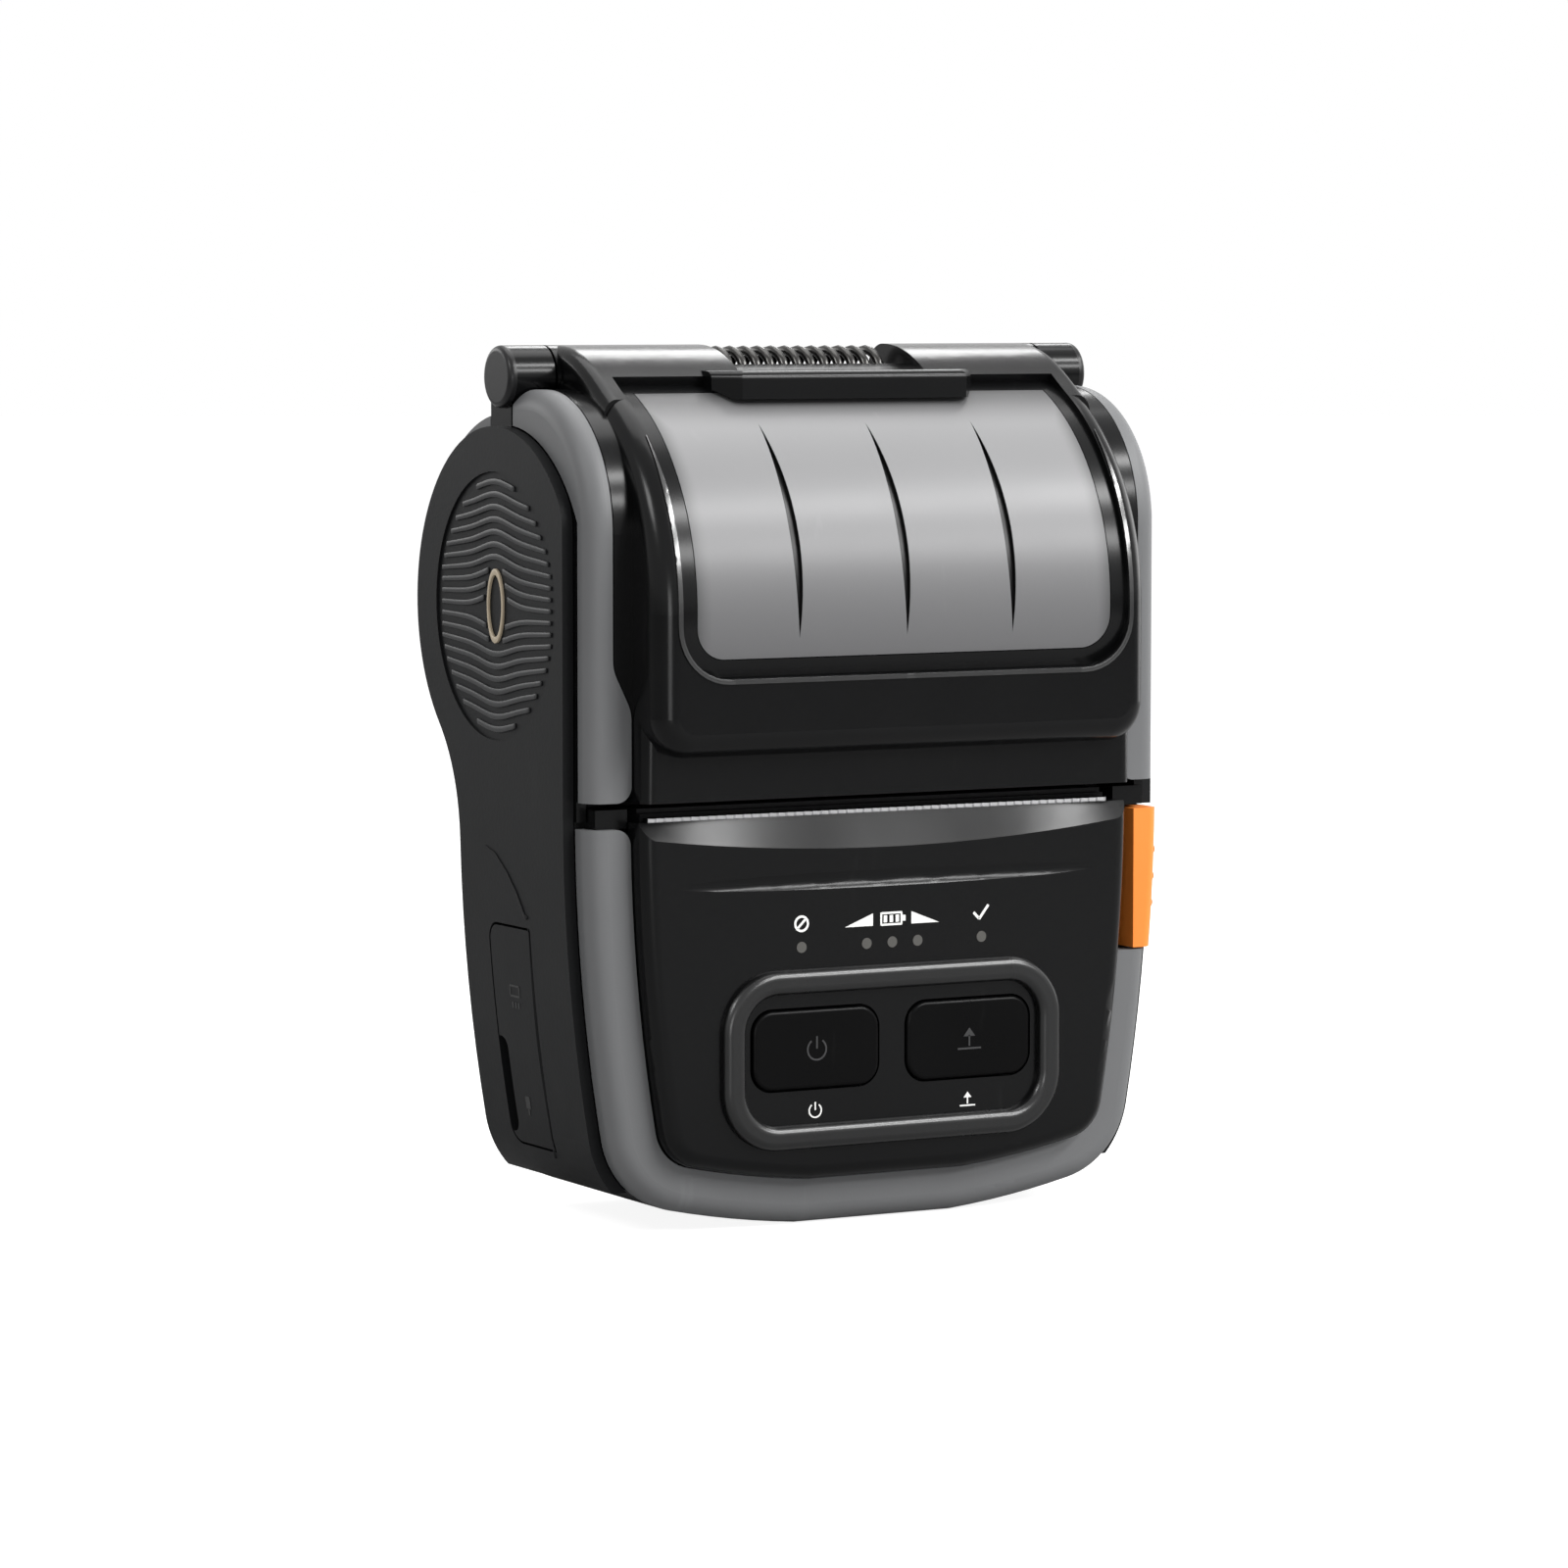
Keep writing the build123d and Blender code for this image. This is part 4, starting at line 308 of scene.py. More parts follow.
class Pen:
    """Draws flat shapes on a plane and turns them into one thin raised print that follows a surface."""

    def __init__(self, plane: Plane) -> None:
        """Starts an empty drawing.

        Args:
            plane: The plane that the shapes lie on.
        """
        self.plane = plane
        self.shapes: list[bpy.types.Object] = []

    def _keep(self, shape: bpy.types.Object) -> None:
        """Keeps a flat mesh with its place applied in the drawing's own metres."""
        self.shapes.append(settle(shape))

    @staticmethod
    def _hollow(shape: bpy.types.Object, width: float) -> None:
        """Leaves only a border of a filled flat shape.

        Args:
            shape: The flat mesh, filled with one face.
            width: Width of its border, in mm.
        """
        with edited(shape):
            bpy.ops.mesh.inset(thickness=width * MM)
            bpy.ops.mesh.delete(type="FACE")

    def bar(self, middle: Point, size: Point, turn_degrees: float = 0.0, rounding: float = 0.0) -> None:
        """Draws a straight bar, with rounded corners if asked.

        Args:
            middle: Middle of the bar, in mm.
            size: Its length and width, in mm.
            turn_degrees: Its turn from level.
            rounding: Radius of its corners, in mm.
        """
        deselect_everything()
        bpy.ops.mesh.primitive_plane_add(size=MM, location=(middle[0] * MM, middle[1] * MM, 0))
        shape = bpy.context.object
        shape.scale = (*size, 1)
        bpy.ops.object.transform_apply(location=False, rotation=False, scale=True)
        shape.rotation_euler = (0, 0, math.radians(turn_degrees))
        if rounding > 0:
            with edited(shape):
                bpy.ops.mesh.bevel(offset=rounding * MM, segments=4, affect="VERTICES")
        self._keep(shape)

    def ring(
        self, middle: Point, radius: float, width: float, gap_degrees: float = 0.0, stretch: float = 1.0
    ) -> None:
        """Draws a ring, open at its top if asked.

        Args:
            middle: Its middle, in mm.
            radius: Radius of its middle line, in mm.
            width: Width of the line, in mm.
            gap_degrees: Angle of the opening at the top.
            stretch: Height of the ring as a share of its width.
        """
        deselect_everything()
        bpy.ops.mesh.primitive_circle_add(vertices=40, radius=(radius + width / 2) * MM, fill_type="NGON")
        shape = bpy.context.object
        self._hollow(shape, width)
        if gap_degrees > 0:
            with open_mesh(shape) as work:
                lost = [f for f in work.faces if self._from_top(f.calc_center_median()) < gap_degrees / 2]
                bmesh.ops.delete(work, geom=lost, context="FACES")
        shape.scale = (1, stretch, 1)
        shape.location = (middle[0] * MM, middle[1] * MM, 0)
        self._keep(shape)

    @staticmethod
    def _from_top(place: Vector) -> float:
        """Angle of a point from straight up to either side, in degrees."""
        return abs(math.degrees(math.atan2(place.x, place.y)))

    def outline(self, corners: list[Point]) -> None:
        """Draws a filled shape by its corners.

        Args:
            corners: Its corners in order, counterclockwise, in mm.
        """
        deselect_everything()
        bpy.ops.mesh.primitive_circle_add(vertices=len(corners), radius=MM, fill_type="NGON")
        shape = bpy.context.object
        for vertex, corner in zip(shape.data.vertices, corners):
            vertex.co = (corner[0] * MM, corner[1] * MM, 0)
        self._keep(shape)

    def frame(self, middle: Point, size: Point, width: float, rounding: float = 0.2) -> None:
        """Draws the outline of a rounded box.

        Args:
            middle: Its middle, in mm.
            size: Its outer size, in mm.
            width: Width of its line, in mm.
            rounding: Radius of its outer corners, in mm.
        """
        self.bar(middle, size, rounding=rounding)
        self._hollow(self.shapes[-1], width)

    def print_on(
        self,
        node: bpy.types.Object,
        name: str,
        height: float = 0.06,
        fineness: float = 1.0,
        bevel: float = 0.0,
    ) -> bpy.types.Object:
        """Lays the drawing on a node's surface as one thin raised piece.

        Args:
            node: The CAD node that carries it.
            name: Name of the finished piece.
            height: How far it stands proud, in mm.
            fineness: Longest edge before it is laid on, in mm.
            bevel: Width of its rounded upper edge, in mm.

        Returns:
            The finished piece.
        """
        piece = join(self.shapes, name)
        self.shapes = []
        refine(piece, fineness)
        piece.matrix_world = self.plane.matrix()
        settle(piece)
        lay_on(piece, node, self.plane.normal())
        depth = height + UNDERLAP
        apply_modifier(piece, "SOLIDIFY", thickness=depth * MM, offset=height / depth * 2 - 1)
        if bevel > 0:
            rounding = {"width": bevel * MM, "segments": 2}
            apply_modifier(piece, "BEVEL", **rounding, limit_method="ANGLE", angle_limit=BEVEL_ANGLE)
        finish_mesh(piece)
        return piece


# Shader nodes


def opaque(colour: Colour) -> tuple[float, ...]:
    """Adds full cover to a colour."""
    return (*colour, 1.0)


def toned(colour: Colour, gain: float, lift: float = 0.0) -> tuple[float, ...]:
    """Scales and lifts a colour, and adds full cover.

    Args:
        colour: The colour.
        gain: What each channel is multiplied by.
        lift: What is added to it.

    Returns:
        The new colour, at most white.
    """
    return opaque(tuple(min(1.0, channel * gain + lift) for channel in colour))


@dataclass(frozen=True)
class NodeBench:
    """Adds nodes to one tree and links them.

    Attributes:
        tree: Node tree of a material, of the surroundings or of a group.
    """

    tree: bpy.types.NodeTree

    def feed(self, node: bpy.types.Node, inputs: dict[str | int, Source]) -> None:
        """Links outputs to a node's inputs, and sets numbers and colours on them directly.

        Args:
            node: The node.
            inputs: What each input gets, by its name or index.
        """
        for name, source in inputs.items():
            if isinstance(source, bpy.types.NodeSocket):
                self.tree.links.new(source, node.inputs[name])
            else:
                node.inputs[name].default_value = source

    def add(
        self, kind: str, inputs: dict[str | int, Source] | None = None, **settings: object
    ) -> bpy.types.NodeOutputs:
        """Adds a node with its settings and feeds its inputs.

        Args:
            kind: Type of the node, without the words that all types start with.
            inputs: What each input gets, by its name or index.
            settings: Settings of the node by name.

        Returns:
            Its outputs.
        """
        node = self.tree.nodes.new(f"ShaderNode{kind}")
        for name, value in settings.items():
            setattr(node, name, value)
        self.feed(node, inputs or {})
        return node.outputs

    def math(self, operation: str, *sources: Source, clamp: bool = False) -> bpy.types.NodeSocket:
        """Adds a Math node.

        Args:
            operation: What it does.
            sources: Its inputs in order.
            clamp: Whether the result stays between 0 and 1.

        Returns:
            The result's socket.
        """
        return self.add("Math", dict(enumerate(sources)), operation=operation, use_clamp=clamp)[0]

    def remap(
        self, source: Source, before: Point = (0.0, 1.0), after: Point = (0.0, 1.0), smooth: bool = False
    ) -> bpy.types.NodeSocket:
        """Maps one range of a value onto another one.

        Args:
            source: The value.
            before: Start and end of its own range.
            after: Start and end of the new range.
            smooth: Whether it eases in and out.

        Returns:
            The result's socket.
        """
        names = ("Value", "From Min", "From Max", "To Min", "To Max")
        inputs = dict(zip(names, (source, *before, *after)))
        course = "SMOOTHSTEP" if smooth else "LINEAR"
        return self.add("MapRange", inputs, interpolation_type=course)["Result"]

    def mix(self, share: Source, start: Source, end: Source) -> bpy.types.NodeSocket:
        """Mixes two colours.

        Args:
            share: Share of the second colour.
            start: The first colour.
            end: The second colour.

        Returns:
            The result's socket.
        """
        return self.add("Mix", {"Factor": share, "A": start, "B": end}, data_type="RGBA")["Result"]

    def place(self) -> bpy.types.NodeSocket:
        """Place on the surface, in the metres of the part."""
        return self.add("TexCoord")["Object"]


def group_with(name: str, inputs: dict[str, float], outputs: tuple[str, ...]) -> bpy.types.NodeTree:
    """Makes a shader node group with named sockets.

    Args:
        name: Name of the group.
        inputs: Number inputs with their start values.
        outputs: Number outputs.

    Returns:
        The group, with its input and output nodes.
    """
    tree = bpy.data.node_groups.new(name, "ShaderNodeTree")
    number = "NodeSocketFloat"
    for socket, value in inputs.items():
        made = tree.interface.new_socket(name=socket, in_out="INPUT", socket_type=number)
        made.default_value = value
    for socket in outputs:
        tree.interface.new_socket(name=socket, in_out="OUTPUT", socket_type=number)
    tree.nodes.new("NodeGroupInput").name = "In"
    tree.nodes.new("NodeGroupOutput").name = "Out"
    return tree


def grain_group() -> bpy.types.NodeTree:
    """Builds the fine grain and soft cloudiness that all moulded surfaces share.

    Returns:
        A group with the inputs Grain Size, Cloud Size, and the outputs Height, Cloud.
    """
    tree = group_with("moulded_grain", {"Grain Size": 2500.0, "Cloud Size": 60.0}, ("Height", "Cloud"))
    bench = NodeBench(tree)
    place = bench.place()
    for output, size, detail in (("Height", "Grain Size", 3.0), ("Cloud", "Cloud Size", 4.0)):
        scale = tree.nodes["In"].outputs[size]
        noise = bench.add("TexNoise", {"Vector": place, "Scale": scale, "Detail": detail})
        bench.feed(tree.nodes["Out"], {output: noise["Fac"]})
    return tree


def scuff_group() -> bpy.types.NodeTree:
    """Builds sparse fine scuffs and dust for surfaces that are handled.

    Returns:
        A group with the input Scuff Size and the output Scuff.
    """
    tree = group_with("handling_scuffs", {"Scuff Size": 300.0}, ("Scuff",))
    bench = NodeBench(tree)
    course = {"Vector": bench.place(), "Scale": (1.0, 0.6, 0.15), "Rotation": (0.4, 0.2, 0.5)}
    stretched = bench.add("Mapping", course)["Vector"]
    scale = tree.nodes["In"].outputs["Scuff Size"]
    noise = bench.add("TexNoise", {"Vector": stretched, "Scale": scale, "Detail": 5.0})
    bench.feed(tree.nodes["Out"], {"Scuff": bench.remap(noise["Fac"], before=(0.66, 0.82))})
    return tree


@dataclass
class SharedEffects:
    """The node groups that the finishes share, each built once."""

    grain: bpy.types.NodeTree = field(default_factory=grain_group)
    scuffs: bpy.types.NodeTree = field(default_factory=scuff_group)


# Finishes

BUMP_STRENGTH = 0.5
SMOOTHEST = 0.03
SCUFF_GAIN = 1.6
SCUFF_LIFT = 0.02
SCUFF_DULLING = 0.25


@dataclass(frozen=True)
class Finish:
    """One finish of the printer, as a material whose nodes vary its tone, gloss and grain.

    Attributes:
        name: Name of the material.
        colour: Its linear colour.
        roughness: Middle of its roughness.
        metallic: 1 for bare metal.
        specular: Strength of its plain reflection.
        coat: Weight of its clear coat.
        tone: How far the colour wanders, as a share.
        gloss_spread: How far the roughness wanders.
        grain_size: Scale of the fine grain, per metre.
        grain_depth: Height of the grain, in mm.
        cloud_size: Scale of the soft clouds, per metre.
        scuffs: Strength of the scuffs on colour and roughness.
        coat_roughness: Roughness of its clear coat.
    """

    name: str
    colour: Colour
    roughness: float
    metallic: float = 0.0
    specular: float = 0.5
    coat: float = 0.0
    tone: float = 0.12
    gloss_spread: float = 0.08
    grain_size: float = 2500.0
    grain_depth: float = 0.01
    cloud_size: float = 60.0
    scuffs: float = 0.0
    coat_roughness: float = 0.1

    def build(self, shared: SharedEffects) -> bpy.types.Material:
        """Builds the material.

        Args:
            shared: The node groups that the finishes share.

        Returns:
            The finished material.
        """
        material = bpy.data.materials.new(self.name)
        material.use_nodes = True
        material.diffuse_color = opaque(self.colour)
        bench = NodeBench(material.node_tree)
        sizes = {"Grain Size": self.grain_size, "Cloud Size": self.cloud_size}
        grain = bench.add("Group", sizes, node_tree=shared.grain)
        colour = self._colour(bench, grain["Cloud"])
        dullest = min(1.0, self.roughness + self.gloss_spread)
        glossiest = max(SMOOTHEST, self.roughness - self.gloss_spread)
        roughness = bench.remap(grain["Cloud"], after=(glossiest, dullest))
        if self.scuffs > 0:
            colour, roughness = self._scuffed(bench, shared, colour, roughness)
        relief = {"Strength": BUMP_STRENGTH, "Distance": self.grain_depth * MM, "Height": grain["Height"]}
        bench.feed(material.node_tree.nodes["Principled BSDF"], {
            "Metallic": self.metallic,
            "Specular IOR Level": self.specular,
            "Coat Weight": self.coat,
            "Coat Roughness": self.coat_roughness,
            "Base Color": colour,
            "Roughness": roughness,
            "Normal": bench.add("Bump", relief)["Normal"],
        })
        return material

    def _colour(self, bench: NodeBench, cloud: bpy.types.NodeSocket) -> bpy.types.NodeSocket:
        """Mixes the darker and lighter tone by the soft clouds.

        Args:
            bench: The material's nodes.
            cloud: The soft clouds.

        Returns:
            The colour's socket.
        """
        return bench.mix(cloud, toned(self.colour, 1 - self.tone), toned(self.colour, 1 + self.tone))

    def _scuffed(
        self, bench: NodeBench, shared: SharedEffects, colour: Source, roughness: Source
    ) -> tuple[bpy.types.NodeSocket, bpy.types.NodeSocket]:
        """Lightens and dulls the surface where it is scuffed.

        Args:
            bench: The material's nodes.
            shared: The node groups that the finishes share.
            colour: Colour before the scuffs.
            roughness: Roughness before the scuffs.

        Returns:
            Colour and roughness with the scuffs.
        """
        scuff = bench.add("Group", node_tree=shared.scuffs)["Scuff"]
        weight = bench.math("MULTIPLY", scuff, self.scuffs)
        tinted = bench.mix(weight, colour, toned(self.colour, SCUFF_GAIN, SCUFF_LIFT))
        return tinted, bench.math("MULTIPLY_ADD", weight, SCUFF_DULLING, roughness, clamp=True)


@dataclass(frozen=True)
class WindowFinish(Finish):
    """Smoked window with painted light that makes it lighter towards the top, and painted shade in bands
    along its top and sides and down in its pointed grooves.

    Attributes:
        painted_dim_foot: Darker end of the painted light, at its foot.
        groove_shade_colour: Painted shade down in the grooves and on the pane's inner side.
        painted_light_heights: Z where the painted light starts and ends to grow lighter.
        roll_middle: Y and Z of the paper roll's axis.
        groove_floor: Distance from that axis below which shade is painted.
        rim_shade_colour: Colour of the painted shade in the bands along the top and sides.
        rim_shade_share: How much of that painted shade shows there.
        top_shade: Z where the upper band starts and is full.
        side_shade: Distance from the middle where the side bands start and are full.
    """

    painted_dim_foot: Colour = (0.118, 0.118, 0.121)
    groove_shade_colour: Colour = (0.004, 0.004, 0.0042)
    painted_light_heights: Point = (86.0, 122.0)
    roll_middle: Point = (4.75, 94.6)
    groove_floor: float = 36.05
    rim_shade_colour: Colour = (0.02, 0.02, 0.0205)
    rim_shade_share: float = 0.8
    top_shade: Point = (121.5, 127.8)
    side_shade: Point = (33.4, 38.2)

    def _colour(self, bench: NodeBench, cloud: bpy.types.NodeSocket) -> bpy.types.NodeSocket:
        """Mixes the painted light by height, then paints shade into the bands along the edges and into what
        lies in a groove.

        Args:
            bench: The material's nodes.
            cloud: The soft clouds; not used here.

        Returns:
            The colour's socket.
        """
        place = bench.place()
        axes = bench.add("SeparateXYZ", {"Vector": place})
        # Painted light: lighter from the foot towards the top.
        rise = self._ramp(bench, axes["Z"], self.painted_light_heights)
        painted_light_tint = bench.mix(rise, opaque(self.painted_dim_foot), opaque(self.colour))
        # Painted shade in bands along the top and sides, where the lid frame shades the window.
        rim_shaded = bench.mix(self._painted_rim_shade(bench, axes), painted_light_tint, opaque(self.rim_shade_colour))
        # Painted shade down in the grooves and on the pane's inner side.
        return bench.mix(self._painted_groove_shade(bench, place), rim_shaded, opaque(self.groove_shade_colour))

    @staticmethod
    def _ramp(bench: NodeBench, source: Source, ends: Point, full: float = 1.0) -> bpy.types.NodeSocket:
        """Eases from nothing to a share between two places along an axis.

        Args:
            bench: The material's nodes.
            source: Place along the axis, in metres.
            ends: Where it starts and where it is full, in mm.
            full: The share that it reaches.

        Returns:
            The share's socket.
        """
        start, end = ends
        return bench.remap(source, (start * MM, end * MM), (0.0, full), smooth=True)

    def _painted_rim_shade(self, bench: NodeBench, axes: bpy.types.NodeOutputs) -> bpy.types.NodeSocket:
        """Masks the bands along the window's top and sides, where shade is painted.

        Args:
            bench: The material's nodes.
            axes: The place, split into X, Y and Z.

        Returns:
            The mask's socket.
        """
        aside = bench.math("ABSOLUTE", axes["X"])
        bands = ((aside, self.side_shade), (axes["Z"], self.top_shade))
        return bench.math("MAXIMUM", *(self._ramp(bench, *band, self.rim_shade_share) for band in bands))

    def _painted_groove_shade(self, bench: NodeBench, place: bpy.types.NodeSocket) -> bpy.types.NodeSocket:
        """Masks what lies nearer to the roll's axis than the floor of the grooves, where shade is painted.

        Args:
            bench: The material's nodes.
            place: The place on the surface.

        Returns:
            The mask's socket.
        """
        y, z = self.roll_middle
        course = {"Vector": place, "Location": (0.0, -y * MM, -z * MM), "Scale": (0.0, 1.0, 1.0)}
        centred = bench.add("Mapping", course)["Vector"]
        reach = bench.add("VectorMath", {0: centred}, operation="LENGTH")["Value"]
        return bench.math("LESS_THAN", reach, self.groove_floor * MM)


@dataclass(frozen=True)
class TearBarFinish(Finish):
    """Tear bar: bare steel teeth along its front edge, with the slot's shade painted dark behind them.

    Attributes:
        painted_slot_shade: Colour of the painted shade behind the teeth.
        teeth_from: Y behind which shade is painted.
    """

    painted_slot_shade: Colour = (0.004, 0.004, 0.0042)
    teeth_from: float = -23.35

    def _colour(self, bench: NodeBench, cloud: bpy.types.NodeSocket) -> bpy.types.NodeSocket:
        """Leaves the steel bare in front of a line across the bar, and paints shade without metal behind it.

        Args:
            bench: The material's nodes.
            cloud: The soft clouds.

        Returns:
            The colour's socket.
        """
        steel = super()._colour(bench, cloud)
        axes = bench.add("SeparateXYZ", {"Vector": bench.place()})
        # Painted shade: behind its teeth the bar lies in the slot's shade.
        teeth = bench.math("LESS_THAN", axes["Y"], self.teeth_from * MM)
        bench.feed(bench.tree.nodes["Principled BSDF"], {"Metallic": teeth})
        return bench.mix(teeth, opaque(self.painted_slot_shade), steel)


BLACK_SHELL = Finish(
    "black_shell", (0.0022, 0.0023, 0.0025), 0.21, specular=0.18, gloss_spread=0.04, grain_depth=0.003,
    scuffs=0.2,
)
CHARCOAL_COVER = Finish(
    "charcoal_cover", (0.0058, 0.0061, 0.0066), 0.46, specular=0.12, grain_size=1600.0, grain_depth=0.03,
    scuffs=0.3,
)
GREY_RUBBER = Finish(
    "grey_rubber", (0.124, 0.126, 0.129), 0.5, specular=0.3, tone=0.07, grain_size=2000.0, grain_depth=0.02,
    scuffs=0.3,
)
# Its colour is the lighter top end of the window's painted light.
SMOKED_WINDOW = WindowFinish(
    "smoked_window", (0.215, 0.215, 0.218), 0.32, specular=0.22, gloss_spread=0.04, grain_depth=0.002,
    scuffs=0.12,
)
GLOSS_RING = Finish(
    "gloss_ring", (0.0025, 0.0026, 0.0028), 0.27, gloss_spread=0.03, grain_depth=0.002, scuffs=0.1
)
GLOSS_BEAD = Finish(
    "gloss_bead", (0.0025, 0.0026, 0.0028), 0.22, specular=1.0, gloss_spread=0.03, grain_depth=0.002
)
KEY_RUBBER = Finish(
    "key_rubber", (0.0012, 0.0012, 0.0013), 0.3, specular=0.08, grain_size=3000.0, scuffs=0.25
)
ORANGE_PLASTIC = Finish(
    "orange_plastic", (0.80, 0.225, 0.036), 0.42, specular=0.3, tone=0.06, grain_depth=0.008, scuffs=0.15
)
LAMP_LENS = Finish("lamp_lens", (0.055, 0.053, 0.047), 0.15, coat=0.6, tone=0.2, grain_depth=0.003)
INNER_PLASTIC = Finish("inner_plastic", (0.022, 0.022, 0.024), 0.5, specular=0.3, grain_depth=0.02)
HINGE_CAP = Finish("hinge_cap", (0.0075, 0.0075, 0.008), 0.33, specular=0.25)
BRIGHT_STEEL = Finish(
    "bright_steel", (0.56, 0.56, 0.57), 0.28, metallic=1.0, tone=0.1, gloss_spread=0.1, grain_size=1400.0,
    grain_depth=0.004,
)
DARK_STEEL = Finish(
    "dark_spring_steel", (0.055, 0.054, 0.052), 0.26, metallic=1.0, tone=0.25, gloss_spread=0.1,
    grain_depth=0.006, cloud_size=240.0,
)
TEAR_STEEL = TearBarFinish(
    "tear_steel", (0.62, 0.62, 0.63), 0.38, specular=0.0, tone=0.1, grain_size=1400.0, grain_depth=0.004
)
BRASS = Finish("bearing_brass", (0.60, 0.47, 0.24), 0.3, metallic=1.0, grain_depth=0.004)
ROLLER_RUBBER = Finish("roller_rubber", (0.03, 0.03, 0.032), 0.7, specular=0.25, grain_depth=0.02)
BLACK_ANODISED = Finish(
    "black_anodised", (0.009, 0.009, 0.0095), 0.5, specular=0.08, grain_size=1000.0, grain_depth=0.006
)
DARK_GLAZE = Finish(
    "dark_glaze", (0.008, 0.008, 0.0085), 0.35, specular=0.1, tone=0.2, grain_depth=0.002
)
BOARD_GREEN = Finish("board_green", (0.012, 0.085, 0.035), 0.35, coat=0.3, tone=0.3, cloud_size=220.0)
CHIP_BLACK = Finish("chip_black", (0.012, 0.012, 0.012), 0.6, tone=0.2)
BATTERY_CASE = Finish(
    "battery_case", (0.018, 0.018, 0.020), 0.48, grain_size=1200.0, grain_depth=0.03, scuffs=0.4
)
PRINT_WHITE = Finish("print_white", (0.78, 0.78, 0.76), 0.5, tone=0.04, grain_depth=0.002)
PRINT_TAN = Finish("print_tan", (0.42, 0.35, 0.25), 0.45, cloud_size=400.0, grain_depth=0.004)
KEY_MARK = Finish("key_mark", (0.022, 0.022, 0.023), 0.4, tone=0.2, cloud_size=900.0)
DOOR_MARK = Finish("door_mark", (0.004, 0.004, 0.0042), 0.5, tone=0.2)
GRIP_RIB = Finish(
    "grip_rib", (0.02, 0.0205, 0.0215), 0.42, specular=0.3, tone=0.15, grain_size=1600.0, grain_depth=0.02,
    scuffs=0.3,
)


def both_sides(*names: str) -> tuple[str, ...]:
    """Names the left and the right node of each pair."""
    return tuple(f"{side.name.lower()}_{name}" for name in names for side in Side)


NODE_FINISHES: dict[Finish, tuple[str, ...]] = {
    BLACK_SHELL: ("front_case", "rear_shell", "lid_frame"),
    GLOSS_RING: ("keypad_bezel",),
    CHARCOAL_COVER: (*both_sides("side_cover"), "port_door"),
    GREY_RUBBER: ("lower_bumper", *both_sides("lid_bumper", "rear_bumper")),
    SMOKED_WINDOW: ("lid_window",),
    KEY_RUBBER: ("power_button", "feed_button"),
    ORANGE_PLASTIC: ("release_button",),
    LAMP_LENS: ("status_lenses",),
    INNER_PLASTIC: (
        "paper_tub", *both_sides("roll_guide"), "battery_tray", "connector_block", "latch_lever",
        "idler_gear", "platen_gear", "motor_pinion", "belt_clip",
    ),
    HINGE_CAP: both_sides("hinge_cap"),
    BRIGHT_STEEL: (
        "platen_shaft", "hinge_pin", "belt_clip_pin", "idler_pin", "latch_pin", "motor_shaft", "drive_motor",
        "gear_plate", "case_screws", "charging_socket", "data_socket", "dome_switches",
    ),
    DARK_STEEL: ("hinge_spring", "release_spring", "belt_clip_spring"),
    TEAR_STEEL: ("tear_bar",),
    BRASS: (*both_sides("platen_bush"), "battery_contacts"),
    ROLLER_RUBBER: ("platen_roller",),
    BLACK_ANODISED: ("heat_sink",),
    DARK_GLAZE: ("heater_board",),
    BOARD_GREEN: ("main_board", "side_board"),
    CHIP_BLACK: ("board_chips",),
    BATTERY_CASE: ("battery_pack",),
}


@dataclass
class Dresser:
    """Gives the CAD nodes and the new pieces their finished materials.

    Attributes:
        shared: The node groups that the finishes share.
        made: The materials built so far, by name.
    """

    shared: SharedEffects
    made: dict[str, bpy.types.Material] = field(default_factory=dict)

    def material(self, finish: Finish) -> bpy.types.Material:
        """Returns the material of a finish, built the first time.

        Args:
            finish: The finish.

        Returns:
            Its material.
        """
        if finish.name not in self.made:
            self.made[finish.name] = finish.build(self.shared)
        return self.made[finish.name]

    def dress(self, piece: bpy.types.Object, finish: Finish) -> None:
        """Puts one finish on a piece.

        Args:
            piece: The piece or CAD node.
            finish: Its finish.
        """
        if not piece.material_slots:
            piece.data.materials.append(None)
        for slot in piece.material_slots:
            slot.material = self.material(finish)

    def place(self, piece: bpy.types.Object, finish: Finish, body: Body, slot: str) -> None:
        """Dresses a new piece and lets it ride on its body.

        Args:
            piece: The new piece.
            finish: Its finish.
            body: The body that it moves with.
            slot: The record's material slot; not used.
        """
        self.dress(piece, finish)
        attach(piece, body.value)
        LOG.info("%s rides on %s, %d faces", piece.name, body.value, len(piece.data.polygons))


# Studio


def put_in_view(data: bpy.types.ID, place: Place, aim: Place) -> bpy.types.Object:
    """Adds a lamp or camera to the scene and points it at a place.

    Args:
        data: The lamp's or camera's own data.
        place: Its place, in mm.
        aim: The point that it looks at, in mm.

    Returns:
        The new object.
    """
    made = bpy.data.objects.new(data.name, data)
    bpy.context.scene.collection.objects.link(made)
    made.location = Vector(place) * MM
    made.rotation_euler = (Vector(aim) - Vector(place)).to_track_quat("-Z", "Y").to_euler()
    return made


@dataclass(frozen=True)
class SoftLamp:
    """A soft lamp with a lit rectangle that looks at a point.

    Attributes:
        name: Name of the lamp.
        place: Its place, in mm.
        aim: The point that it looks at, in mm.
        size: Width and height of its lit face, in mm.
        power: Its power, in watts.
    """

    name: str
    place: Place
    aim: Place
    size: Point
    power: float

    def build(self) -> None:
        """Adds the lamp to the scene."""
        light = bpy.data.lights.new(self.name, "AREA")
        light.shape = "RECTANGLE"
        light.size = self.size[0] * MM
        light.size_y = self.size[1] * MM
        light.energy = self.power
        put_in_view(light, self.place, self.aim)


